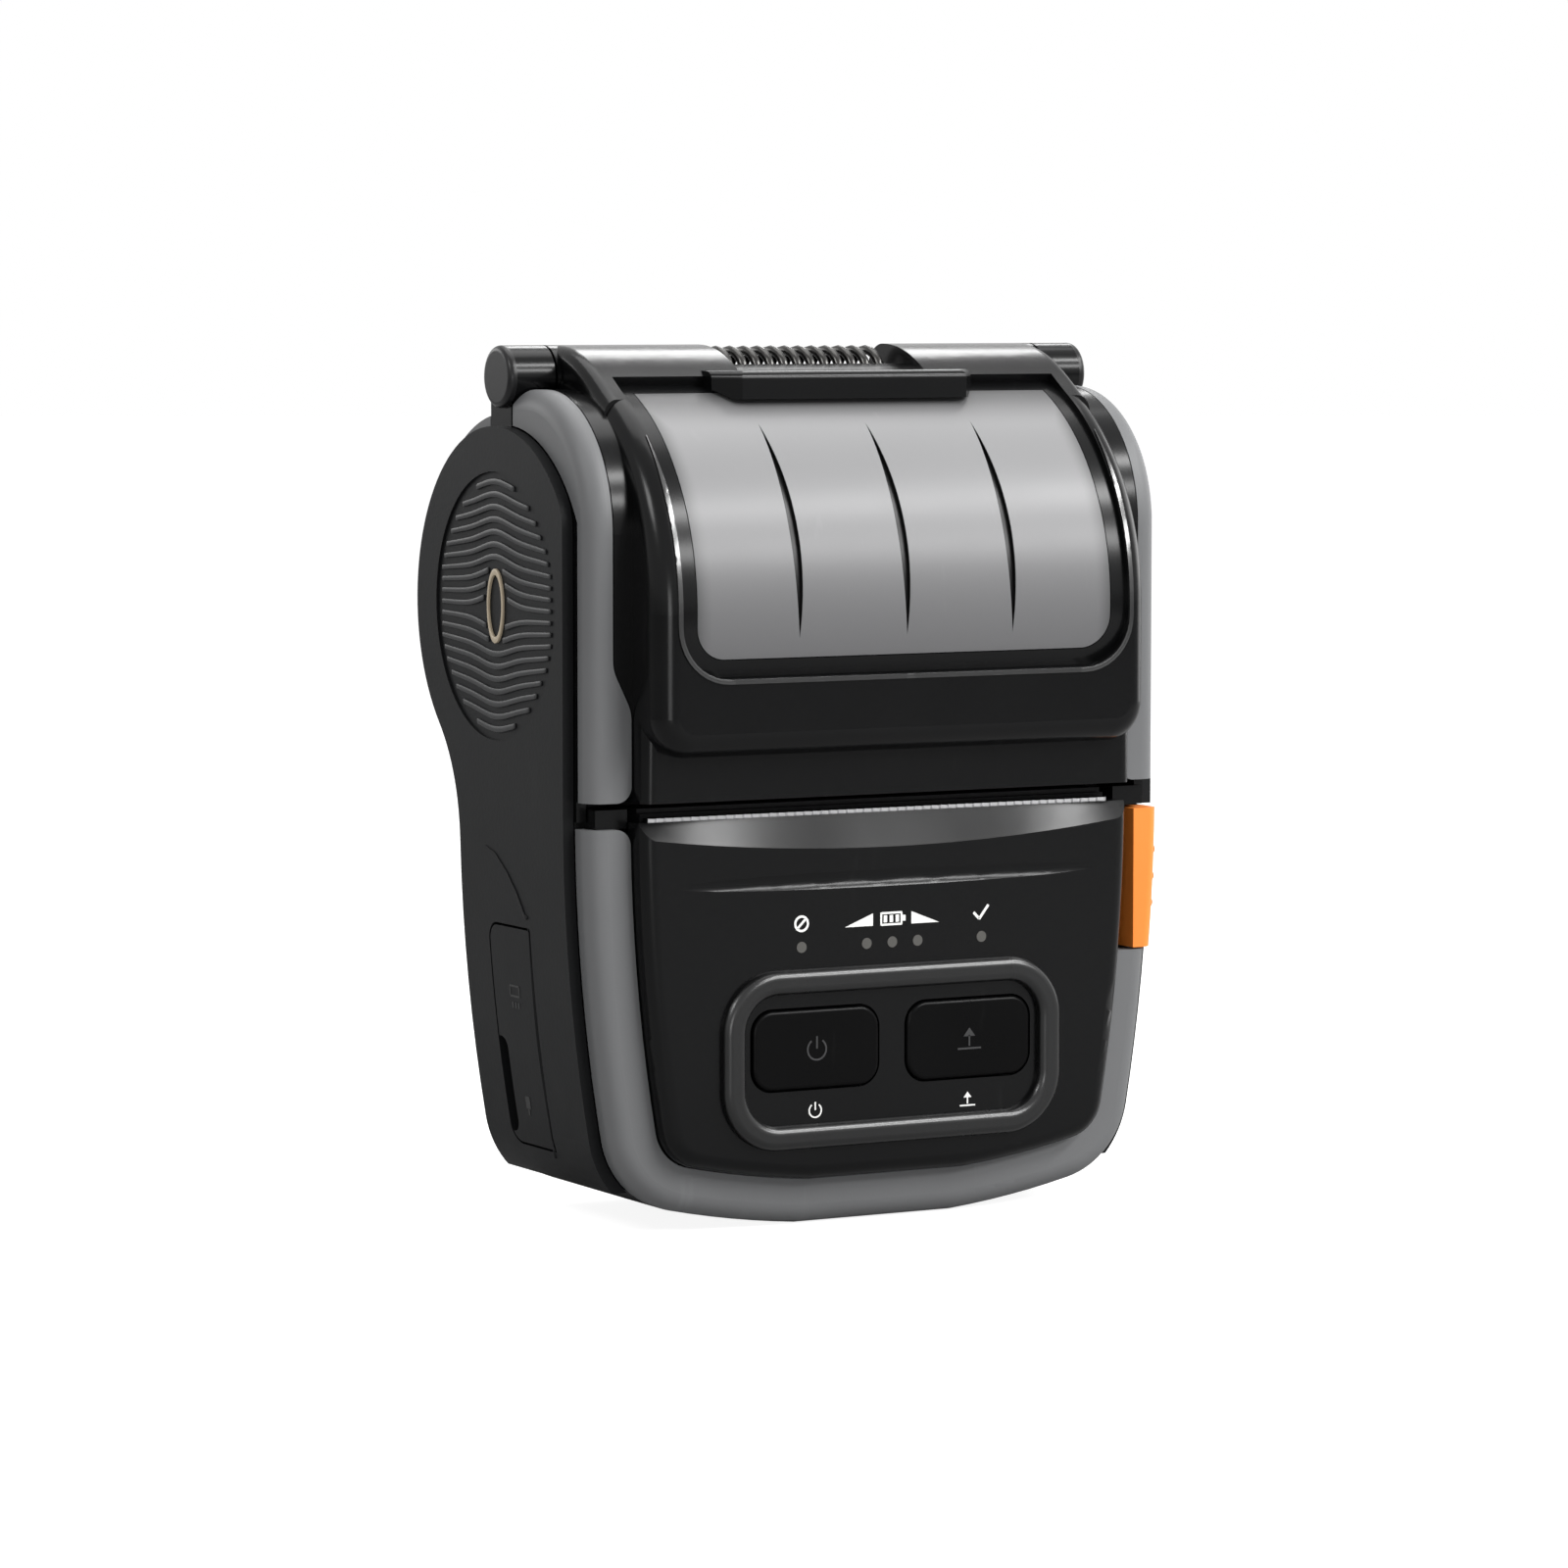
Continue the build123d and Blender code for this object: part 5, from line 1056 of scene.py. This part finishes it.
@dataclass
class Studio:
    """Pale floor and surroundings, soft lamps and the camera at the photograph's angle.

    Attributes:
        camera_place: Place of the camera.
        camera_aim: Point that it looks at.
        lens: Its focal length.
        nearest: Distance from the camera, in metres, where its view starts.
        ambient: Strength of the light from all sides.
        floor_radius: Radius of the floor.
        floor_drop: How far the floor lies below the printer's foot.
        floor_tone: Linear grey of the floor.
        floor_glow: Light that the floor adds for the camera alone, so that it looks white.
        lamps: The soft lamps.
    """

    camera_place: Place = (-447.98, -803.66, 142.14)
    camera_aim: Place = (-18.1, -25.25, 68.1)
    lens: float = 135.0
    nearest: float = 0.05
    ambient: float = 0.33
    floor_radius: float = 6000.0
    floor_drop: float = 0.2
    floor_tone: float = 0.4
    floor_glow: float = 0.9
    lamps: tuple[SoftLamp, ...] = (
        SoftLamp("upper_strip", (480, -510, 710), (0, -25, 60), (760, 100), 7.4),
        SoftLamp("lower_strip", (480, -730, 480), (0, -25, 60), (640, 120), 5.6),
        SoftLamp("left_lamp", (-800, -240, 640), (-20, 0, 90), (240, 240), 2.4),
        SoftLamp("back_lamp", (420, 620, 680), (0, 0, 110), (240, 240), 1.4),
        SoftLamp("right_lamp", (900, 160, 260), (20, 0, 70), (560, 560), 1.8),
        SoftLamp("low_lamp", (-520, -980, 90), (0, -30, 20), (300, 300), 2.0),
        SoftLamp("side_lamp", (-330, 620, 300), (-50, 0, 95), (360, 240), 0.9),
        SoftLamp("top_lamp", (60, 120, 900), (0, 0, 110), (760, 620), 4.6),
    )

    def build(self) -> None:
        """Builds the floor, the surroundings, the lamps and the camera."""
        self._floor()
        self._surroundings()
        for lamp in self.lamps:
            lamp.build()
        self._camera()
        bpy.context.scene.view_settings.view_transform = "Standard"

    def _floor(self) -> None:
        """Builds a wide round floor that is pale and keeps the printer's soft shadow."""
        deselect_everything()
        level = (0, 0, -self.floor_drop * MM)
        bpy.ops.mesh.primitive_circle_add(
            vertices=96, radius=self.floor_radius * MM, fill_type="NGON", location=level
        )
        floor = settle(bpy.context.object)
        floor.name = "studio_floor"
        material = bpy.data.materials.new("studio_floor")
        material.use_nodes = True
        bench = NodeBench(material.node_tree)
        nodes = material.node_tree.nodes
        shader = nodes["Principled BSDF"]
        grey = opaque((self.floor_tone,) * 3)
        bench.feed(shader, {"Base Color": grey, "Roughness": 0.9, "Specular IOR Level": 0.0})
        strength = bench.math("MULTIPLY", bench.add("LightPath")["Is Camera Ray"], self.floor_glow)
        glow = bench.add("Emission", {"Strength": strength})["Emission"]
        both = bench.add("AddShader", {0: shader.outputs["BSDF"], 1: glow})["Shader"]
        bench.feed(nodes["Material Output"], {"Surface": both})
        floor.data.materials.append(material)

    def _surroundings(self) -> None:
        """Sets surroundings that are white for the camera and in reflections, and plain light elsewhere."""
        world = bpy.data.worlds.new("studio_surroundings")
        bpy.context.scene.world = world
        world.use_nodes = True
        bench = NodeBench(world.node_tree)
        path = bench.add("LightPath")
        mirrored = bench.math("MAXIMUM", path["Is Glossy Ray"], path["Is Transmission Ray"])
        seen = bench.math("MAXIMUM", path["Is Camera Ray"], mirrored)
        level = bench.remap(seen, after=(self.ambient, 1.0))
        white = opaque((1.0, 1.0, 1.0))
        bench.feed(world.node_tree.nodes["Background"], {"Color": white, "Strength": level})

    def _camera(self) -> None:
        """Puts the camera at the photograph's place and makes it the scene's own."""
        lens = bpy.data.cameras.new("photo_camera")
        lens.lens = self.lens
        lens.sensor_width = SENSOR_WIDTH
        lens.clip_start = self.nearest
        bpy.context.scene.camera = put_in_view(lens, self.camera_place, self.camera_aim)


# Pieces


@dataclass
class ControlPanel:
    """Printed pictograms of the control panel and the raised marks of its two keys.

    Attributes:
        front: Y of the drawing plane in front of the panel.
        label_height: Z of the middle of the row above the lamps.
        lamp_side: X of the outer lamps.
        key_middle: X of the middle of a key.
        key_height: Z of the middle of the keys.
        caption_height: Z of the marks below the keys.
        caption_size: Scale of the marks below the keys.
        key_mark_size: Scale of the marks on the keys.
        key_mark_rise: How far a mark on a key stands proud.
        thin: Width of a line of the fault and charge marks.
        bold: Width of a line of the tick.
        key_line: Width of a line of the key marks at scale 1.
        wedge: Outer end, inner end and half height of a wedge beside the battery.
    """

    front: float = -34.0
    label_height: float = 46.8
    lamp_side: float = 15.9
    key_middle: float = 13.5
    key_height: float = 27.6
    caption_height: float = 18.1
    caption_size: float = 1.25
    key_mark_size: float = 1.9
    key_mark_rise: float = 0.08
    thin: float = 0.36
    bold: float = 0.42
    key_line: float = 0.2
    wedge: tuple[float, float, float] = (8.3, 3.4, 0.95)

    def build(self, nodes: dict[str, bpy.types.Object], dresser: Dresser) -> None:
        """Builds and dresses all marks of the panel.

        Args:
            nodes: The CAD nodes by name.
            dresser: Gives the finishes.
        """
        keys = (
            ("power", self._power, -self.key_middle, Body.POWER_KEY),
            ("feed", self._feed, self.key_middle, Body.FEED_KEY),
        )
        prints = [
            ("fault_mark", self._fault, -self.lamp_side, self.label_height),
            ("charge_mark", self._charge, 0.0, self.label_height),
            ("state_mark", self._state, self.lamp_side, self.label_height),
        ]
        for word, draw, middle, _ in keys:
            prints.append((f"{word}_caption", draw, middle, self.caption_height))
        for name, draw, middle, height in prints:
            mark = self._drawn(draw, middle, height, self.caption_size).print_on(nodes["front_case"], name)
            dresser.place(mark, PRINT_WHITE, Body.PRINTER, "clear_lens")
        for word, draw, middle, body in keys:
            pen = self._drawn(draw, middle, self.key_height, self.key_mark_size)
            mark = pen.print_on(nodes[f"{word}_button"], f"{word}_key_mark", height=self.key_mark_rise)
            dresser.place(mark, KEY_MARK, body, "keys")

    def _drawn(self, draw: Callable[[Pen, float], None], middle: float, height: float, size: float) -> Pen:
        """Draws one mark on a plane in front of the panel.

        Args:
            draw: Draws the mark.
            middle: X of its middle.
            height: Z of its middle.
            size: Its scale.

        Returns:
            The drawing.
        """
        pen = Pen(Plane((middle, self.front, height)))
        draw(pen, size)
        return pen

    def _fault(self, pen: Pen, _: float) -> None:
        """Draws a crossed ring for a fault."""
        pen.ring((0, 0), 1.1, self.thin)
        pen.bar((0, 0), (2.0, self.thin), 45)

    def _charge(self, pen: Pen, _: float) -> None:
        """Draws a small battery with three cells between a rising and a falling wedge.

        Args:
            pen: The drawing.
        """
        pen.frame((-0.15, 0), (3.9, 2.1), 0.32)
        pen.bar((2.1, 0), (0.5, 0.9))
        for cell in (-1, 0, 1):
            pen.bar((cell * 1.05 - 0.15, 0), (0.6, 1.1))
        outer, inner, half = self.wedge
        pen.outline([(-outer, -half), (-inner, -half), (-inner, half)])
        pen.outline([(inner, -half), (outer, -half), (inner, half)])

    def _state(self, pen: Pen, _: float) -> None:
        """Draws a tick for the ready state."""
        pen.bar((-0.9, -0.3), (1.4, self.bold), -45)
        pen.bar((0.42, 0.2), (2.7, self.bold), 52)

    def _power(self, pen: Pen, size: float) -> None:
        """Draws the usual sign of an on and off key.

        Args:
            pen: The drawing.
            size: Its scale.
        """
        line = self.key_line * size**0.5
        pen.ring((0, -0.05 * size), 0.85 * size, line, gap_degrees=70)
        pen.bar((0, 0.5 * size), (line, size))

    def _feed(self, pen: Pen, size: float) -> None:
        """Draws a sheet with an arrow that leads upwards.

        Args:
            pen: The drawing.
            size: Its scale.
        """
        line = self.key_line * size**0.5
        pen.bar((0, -0.85 * size), (2.2 * size, line))
        pen.bar((0, -0.2 * size), (line, 0.9 * size))
        pen.outline([(-0.55 * size, 0.15 * size), (0.55 * size, 0.15 * size), (0, 0.85 * size)])


@dataclass
class GripPatch:
    """Arched grip ribs on the round patch of a side cover, with a plain oval ring in the middle.

    Attributes:
        side: Left or right cover.
        middle: Y and Z of the patch.
        distance: Distance of the drawing plane from the printer's middle.
        radius: Radius that the ribs fill.
        pitch: Distance from rib to rib.
        base_reach: How far from the middle the ribs' bases are tried, as a share of the radius.
        fewest: Number of pieces below which a rib is left out.
        rib_width: Width of a rib in its middle.
        rib_narrowing: Share of its width that a rib has lost at the patch's edge.
        rib_rise: How far a rib stands proud.
        steps: Number of pieces along a rib.
        arch: Height that the arches are measured by.
        bend: Share of that height that the outermost rib rises by.
        crest: Shares by which the ribs over and under the ring swell around it.
        crest_width: Width of that swelling, as a share of the radius.
        crest_fade: Share of it that the outermost ribs have lost.
        ring_radius: Half width of the ring's middle line.
        ring_line: Width of the ring's line.
        ring_stretch: Height of the ring as a share of its width.
        ring_room: Half width and half height of the room without ribs around the ring.
    """

    side: Side
    middle: Point = (4.75, 94.6)
    distance: float = 54.0
    radius: float = 19.6
    pitch: float = 1.72
    base_reach: float = 1.4
    fewest: int = 3
    rib_width: float = 0.95
    rib_narrowing: float = 0.25
    rib_rise: float = 0.32
    steps: int = 48
    arch: float = 5.2
    bend: float = 0.6
    crest: Point = (0.35, -0.3)
    crest_width: float = 0.32
    crest_fade: float = 0.5
    ring_radius: float = 2.5
    ring_line: float = 0.45
    ring_stretch: float = 2.1
    ring_room: Point = (3.4, 6.4)

    def build(self, nodes: dict[str, bpy.types.Object], dresser: Dresser) -> None:
        """Builds and dresses the ribs and the ring of one side.

        Args:
            nodes: The CAD nodes by name.
            dresser: Gives the finishes.
        """
        word = self.side.name.lower()
        cover = nodes[f"{word}_side_cover"]
        pen = Pen(Plane.beside(self.side, self.distance, self.middle))
        self._draw_ribs(pen)
        ribs = pen.print_on(cover, f"{word}_grip_ribs", height=self.rib_rise, fineness=4.0, bevel=0.16)
        dresser.place(ribs, GRIP_RIB, Body.PRINTER, "charcoal_cover")
        pen.ring((0, 0), self.ring_radius, self.ring_line, stretch=self.ring_stretch)
        ring = pen.print_on(cover, f"{word}_patch_ring", height=0.42, bevel=0.08)
        dresser.place(ring, PRINT_TAN, Body.PRINTER, "charcoal_cover")

    def _draw_ribs(self, pen: Pen) -> None:
        """Draws the ribs from the lowest to the highest, as far as the patch has room for them.

        Args:
            pen: The drawing.
        """
        count = int(self.radius * self.base_reach / self.pitch)
        for index in range(-count, count + 1):
            strip = self._strip(index * self.pitch)
            if strip is not None:
                pen.shapes.append(strip)

    def _strip(self, base: float) -> bpy.types.Object | None:
        """Makes one arched strip inside the patch.

        Args:
            base: Height of its middle over the patch's middle.

        Returns:
            The flat strip, or nothing where the patch has no room for it.
        """
        deselect_everything()
        bpy.ops.mesh.primitive_grid_add(x_subdivisions=self.steps, y_subdivisions=1, size=2)
        strip = bpy.context.object
        lost: set[int] = set()
        for vertex in strip.data.vertices:
            across = vertex.co.x * self.radius
            width = self.rib_width * (1 - self.rib_narrowing * abs(vertex.co.x))
            high = base + self._lift(base, across) + vertex.co.y * width / 2
            if math.hypot(across, high) > self.radius or self._in_ring(across, high):
                lost.add(vertex.index)
            vertex.co = (across * MM, high * MM, 0)
        with open_mesh(strip) as work:
            gone = [face for face in work.faces if any(v.index in lost for v in face.verts)]
            bmesh.ops.delete(work, geom=gone, context="FACES")
        if len(strip.data.polygons) < self.fewest:
            bpy.data.objects.remove(strip)
            return None
        return strip

    def _lift(self, base: float, across: float) -> float:
        """Height of an arched rib over its own base at a place along it.

        Args:
            base: Height of the rib over the patch's middle.
            across: Place along the rib from its middle.

        Returns:
            How far the rib is raised there: up in the upper half, down in the lower half.
        """
        share = max(-1.0, min(1.0, base / self.radius))
        bow = share * (1 - (across / self.radius) ** 2) * self.bend
        peak = math.exp(-((across / (self.crest_width * self.radius)) ** 2))
        swell = self.crest[0] if base >= 0 else self.crest[1]
        return self.arch * (bow + swell * peak * (1 - self.crest_fade * abs(share)))

    def _in_ring(self, across: float, high: float) -> bool:
        """Whether a point lies in the room kept free for the oval ring."""
        half_width, half_height = self.ring_room
        return (across / half_width) ** 2 + (high / half_height) ** 2 < 1


@dataclass
class DoorMarks:
    """Small dark pictograms of the two sockets on the connector door.

    Attributes:
        distance: Distance of the drawing plane from the printer's middle.
        upper: Y and Z of the data socket's mark.
        lower: Y and Z of the charging socket's mark.
        tooth: Size of the small bars below both marks.
    """

    distance: float = 53.0
    upper: Point = (1.0, 35.0)
    lower: Point = (1.0, 18.2)
    tooth: Point = (0.5, 0.9)

    def build(self, nodes: dict[str, bpy.types.Object], dresser: Dresser) -> None:
        """Builds and dresses the marks.

        Args:
            nodes: The CAD nodes by name.
            dresser: Gives the finishes.
        """
        for name, draw, middle in (
            ("data_door_mark", self._data, self.upper), ("charging_door_mark", self._charging, self.lower),
        ):
            pen = Pen(Plane.beside(Side.LEFT, self.distance, middle))
            draw(pen)
            mark = pen.print_on(nodes["port_door"], name)
            dresser.place(mark, DOOR_MARK, Body.DOOR, "charcoal_cover")

    def _data(self, pen: Pen) -> None:
        """Draws a box with three bars below it.

        Args:
            pen: The drawing.
        """
        pen.frame((0, 0.6), (3.4, 1.9), 0.3)
        for place in (-1.0, 0.0, 1.0):
            pen.bar((place, -1.6), self.tooth)

    def _charging(self, pen: Pen) -> None:
        """Draws a filled plug with its lead."""
        pen.bar((0, 0), (1.5, 1.9), rounding=0.15)
        pen.bar((0, -1.5), self.tooth)


@dataclass
class CoverCrease:
    """Curved fold of the left side cover that runs down to the front edge of the connector door.

    Attributes:
        distance: Distance of the drawing plane from the printer's middle.
        course: Y and Z of the fold's points, from its upper end down to the door.
        spread: How far its two edges are apart at the lower end, along Y and Z.
    """

    distance: float = 54.0
    course: tuple[Point, ...] = (
        (8.2, 57.6), (5.0, 56.6), (1.2, 53.9), (-1.8, 50.9), (-4.0, 47.7), (-4.9, 47.2),
    )
    spread: Point = (0.6, 0.45)

    def build(self, nodes: dict[str, bpy.types.Object], dresser: Dresser) -> None:
        """Builds and dresses the fold as a long raised sliver.

        Args:
            nodes: The CAD nodes by name.
            dresser: Gives the finishes.
        """
        last = len(self.course) - 1
        near = [(-y, z) for y, z in self.course]
        far = [
            (across + index / last * self.spread[0], high + index / last * self.spread[1])
            for index, (across, high) in enumerate(near)
        ]
        pen = Pen(Plane.beside(Side.LEFT, self.distance))
        pen.outline(near + far[:0:-1])
        fold = pen.print_on(nodes["left_side_cover"], "cover_fold", height=0.16, bevel=0.07)
        dresser.place(fold, CHARCOAL_COVER, Body.PRINTER, "charcoal_cover")


@dataclass
class WindowBead:
    """Slim rounded bead on the lid, around the sunk rim of the window: down one side and up the other.

    Attributes:
        front: Y of the drawing plane in front of the lid.
        reach: Distance from the window's side and foot to the bead's middle line.
        top: Z of its two pointed ends.
        point: Length of each pointed end.
        tip_share: Share of its width that is left at its very ends.
        corner: Radius of its corners at the middle line.
        corner_steps: Number of pieces in a corner.
        width: Width of the bead.
        rise: How far it stands proud.
    """

    front: float = -34.0
    reach: float = 3.3
    top: float = 121.0
    point: float = 8.0
    tip_share: float = 0.2
    corner: float = 8.3
    corner_steps: int = 10
    width: float = 0.72
    rise: float = 0.25

    def build(self, nodes: dict[str, bpy.types.Object], dresser: Dresser) -> None:
        """Builds and dresses the bead.

        Args:
            nodes: The CAD nodes by name.
            dresser: Gives the finishes.
        """
        pen = Pen(Plane((0.0, self.front, 0.0)))
        far, near = (self._course(offset) for offset in (self.width / 2, -self.width / 2))
        pen.outline(far + near[::-1])
        bead = pen.print_on(nodes["lid_frame"], "window_bead", height=self.rise, fineness=0.8, bevel=0.16)
        dresser.place(bead, GLOSS_BEAD, Body.LID, "black_shell")

    def _course(self, offset: float) -> list[Point]:
        """Lists the points of one edge of the bead, from its left end to its right end.

        Args:
            offset: Distance of the edge from the middle line, outwards.

        Returns:
            The points, in mm. Both ends of the bead narrow to a point.
        """
        low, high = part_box("lid_window")
        side = high.x / MM + self.reach
        foot = low.z / MM - self.reach
        radius = self.corner + offset
        right = []
        for index in range(self.corner_steps + 1):
            angle = -math.pi / 2 * (1 - index / self.corner_steps)
            x = side - self.corner + radius * math.cos(angle)
            right.append((x, foot + self.corner + radius * math.sin(angle)))
        right.append((side + offset, self.top - self.point))
        right.append((side + offset * self.tip_share, self.top))
        return [(-x, z) for x, z in reversed(right)] + right


@dataclass
class WoundSpring:
    """A wire spring wound about an axis along X, with two straight legs.

    Attributes:
        name: Name of the piece.
        node: The CAD node that it stands for.
        middle: Its middle, in mm.
        length: Length of its windings along X.
        half_turns: Number of half turns.
        radius: Radius of the wire's middle line.
        wire: Radius of the wire.
        leg: Length of each leg.
        slot: The record's material slot.
        steps: Number of pieces in a turn.
    """

    name: str
    node: str
    middle: Place
    length: float
    half_turns: int
    radius: float
    wire: float
    leg: float
    slot: str = "steel"
    steps: int = 20

    def build(self, dresser: Dresser, body: Body) -> bpy.types.Object:
        """Winds the spring, lets it stand for its node and dresses it.

        Args:
            dresser: Gives the finish.
            body: The body that it rides on.

        Returns:
            The finished spring.
        """
        piece = self.wind()
        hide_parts(self.node)
        dresser.place(piece, DARK_STEEL, body, self.slot)
        return piece

    def build_between(self, dresser: Dresser, first: Body, second: Body) -> bpy.types.Object:
        """Winds the spring, lets it stand for its node, dresses it and bakes its place into its mesh.

        Args:
            dresser: Gives the finish.
            first: The body of its left end, only named in the log.
            second: The body of its right end, only named in the log.

        Returns:
            The finished spring.
        """
        piece = self.wind()
        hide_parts(self.node)
        dresser.dress(piece, DARK_STEEL)
        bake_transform(piece)
        LOG.info("%s bends between %s and %s", piece.name, first.value, second.value)
        return piece

    def wind(self) -> bpy.types.Object:
        """Winds the wire from a round section with the screw modifier and pulls out both legs.

        Returns:
            The spring's mesh in the frame of the part.
        """
        rise = self.length / self.half_turns / math.pi
        slope = math.atan2(rise, self.radius)
        deselect_everything()
        bpy.ops.mesh.primitive_circle_add(vertices=14, radius=self.wire * MM, fill_type="NOTHING")
        piece = bpy.context.object
        start = Vector((-self.length / 2, self.radius, 0)) * MM
        piece.matrix_world = Matrix.Translation(start) @ Matrix.Rotation(-slope, 4, "Y")
        settle(piece)
        steps = int(self.steps * self.half_turns / 2)
        apply_modifier(
            piece,
            "SCREW",
            axis="X",
            angle=math.pi * self.half_turns,
            screw_offset=self.length * MM,
            iterations=1,
            steps=steps,
            render_steps=steps,
            use_normal_calculate=True,
        )
        piece.name = piece.data.name = self.name
        self._pull_legs(piece, rise)
        piece.location = Vector(self.middle) * MM
        settle(piece)
        finish_mesh(piece, smooth_degrees=60.0)
        return piece

    def _pull_legs(self, piece: bpy.types.Object, rise: float) -> None:
        """Extrudes both open ends straight on and closes them.

        Args:
            piece: The wound tube.
            rise: Advance of the winding along X per radian.
        """
        with open_mesh(piece) as work:
            for end in (-1, 1):
                loop = [e for e in work.edges if e.is_boundary and e.verts[0].co.x * end > 0]
                angle = 0.0 if end < 0 else math.pi * self.half_turns
                tangent = Vector((rise, -self.radius * math.sin(angle), self.radius * math.cos(angle)))
                way = tangent.normalized() * end
                grown = bmesh.ops.extrude_edge_only(work, edges=loop)["geom"]
                tips = [v for v in grown if isinstance(v, bmesh.types.BMVert)]
                bmesh.ops.translate(work, verts=tips, vec=way * self.leg * MM)
                edges = [e for e in grown if isinstance(e, bmesh.types.BMEdge)]
                rim = [e for e in edges if all(v in tips for v in e.verts)]
                bmesh.ops.contextual_create(work, geom=rim)


@dataclass
class Springs:
    """The three wire springs: of the lid's hinge, behind the release button, and of the belt clip.

    Attributes:
        travel: How far the release button goes in.
        release_axis: Y and Z of the release spring's axis.
        release_gap: Room that its windings leave between button and case.
    """

    travel: float = 2.0
    release_axis: Point = (-18.25, 54.0)
    release_gap: float = 0.56

    def build(self, dresser: Dresser) -> None:
        """Builds and dresses the springs.

        Args:
            dresser: Gives the finish.
        """
        hinge = WoundSpring(
            "hinge_coil", "hinge_spring", middle=(0, 5.25, 129.6), length=28.0, half_turns=23, radius=3.85,
            wire=0.75, leg=4.0,
        )
        hinge.build_between(dresser, Body.PRINTER, Body.LID)
        self._release(dresser)
        clip = WoundSpring(
            "clip_coil", "belt_clip_spring", middle=(0, 24.05, 66.0), length=9.9, half_turns=8, radius=2.15,
            wire=0.45, leg=1.2,
        )
        clip.build(dresser, Body.PRINTER)

    def _release(self, dresser: Dresser) -> None:
        """Builds the release spring in the room of its CAD node, and gives it a mesh of its own.

        Args:
            dresser: Gives the finish.
        """
        low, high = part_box("release_spring")
        middle = (low + high) / 2 / MM
        room = (high.x - low.x) / MM
        release = WoundSpring(
            "release_coil", "release_spring", middle=(middle.x, *self.release_axis),
            length=room - self.release_gap, half_turns=6, radius=1.5, wire=0.25, leg=0.25,
        )
        piece = release.build(dresser, Body.PRINTER)
        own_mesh(piece)


# Whole printer


@dataclass
class TicketPrinter:
    """The whole printer: finishes for the CAD nodes, then each group of new pieces.

    Attributes:
        nodes: The CAD nodes by name.
        dresser: Gives the finishes.
    """

    nodes: dict[str, bpy.types.Object]
    dresser: Dresser

    def build(self) -> None:
        """Dresses the CAD nodes and builds the new pieces in order."""
        self._dress_nodes()
        patches = (GripPatch(side) for side in Side)
        for group in (ControlPanel(), *patches, DoorMarks(), CoverCrease(), WindowBead()):
            group.build(self.nodes, self.dresser)
        Springs().build(self.dresser)

    def _dress_nodes(self) -> None:
        """Gives each CAD node its finish."""
        bare = set(self.nodes)
        for finish, names in NODE_FINISHES.items():
            for name in names:
                self.dresser.dress(self.nodes[name], finish)
            bare -= set(names)
        LOG.info("%d nodes dressed, without a finish: %s", len(self.nodes), sorted(bare) or "none")


def main() -> None:
    """Loads the frame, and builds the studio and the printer."""
    logging.basicConfig(level=logging.INFO, format="%(name)s: %(message)s")
    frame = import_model()
    Studio().build()
    TicketPrinter(frame["nodes"], Dresser(SharedEffects())).build()
    deselect_everything()


if __name__ == "__main__":
    main()
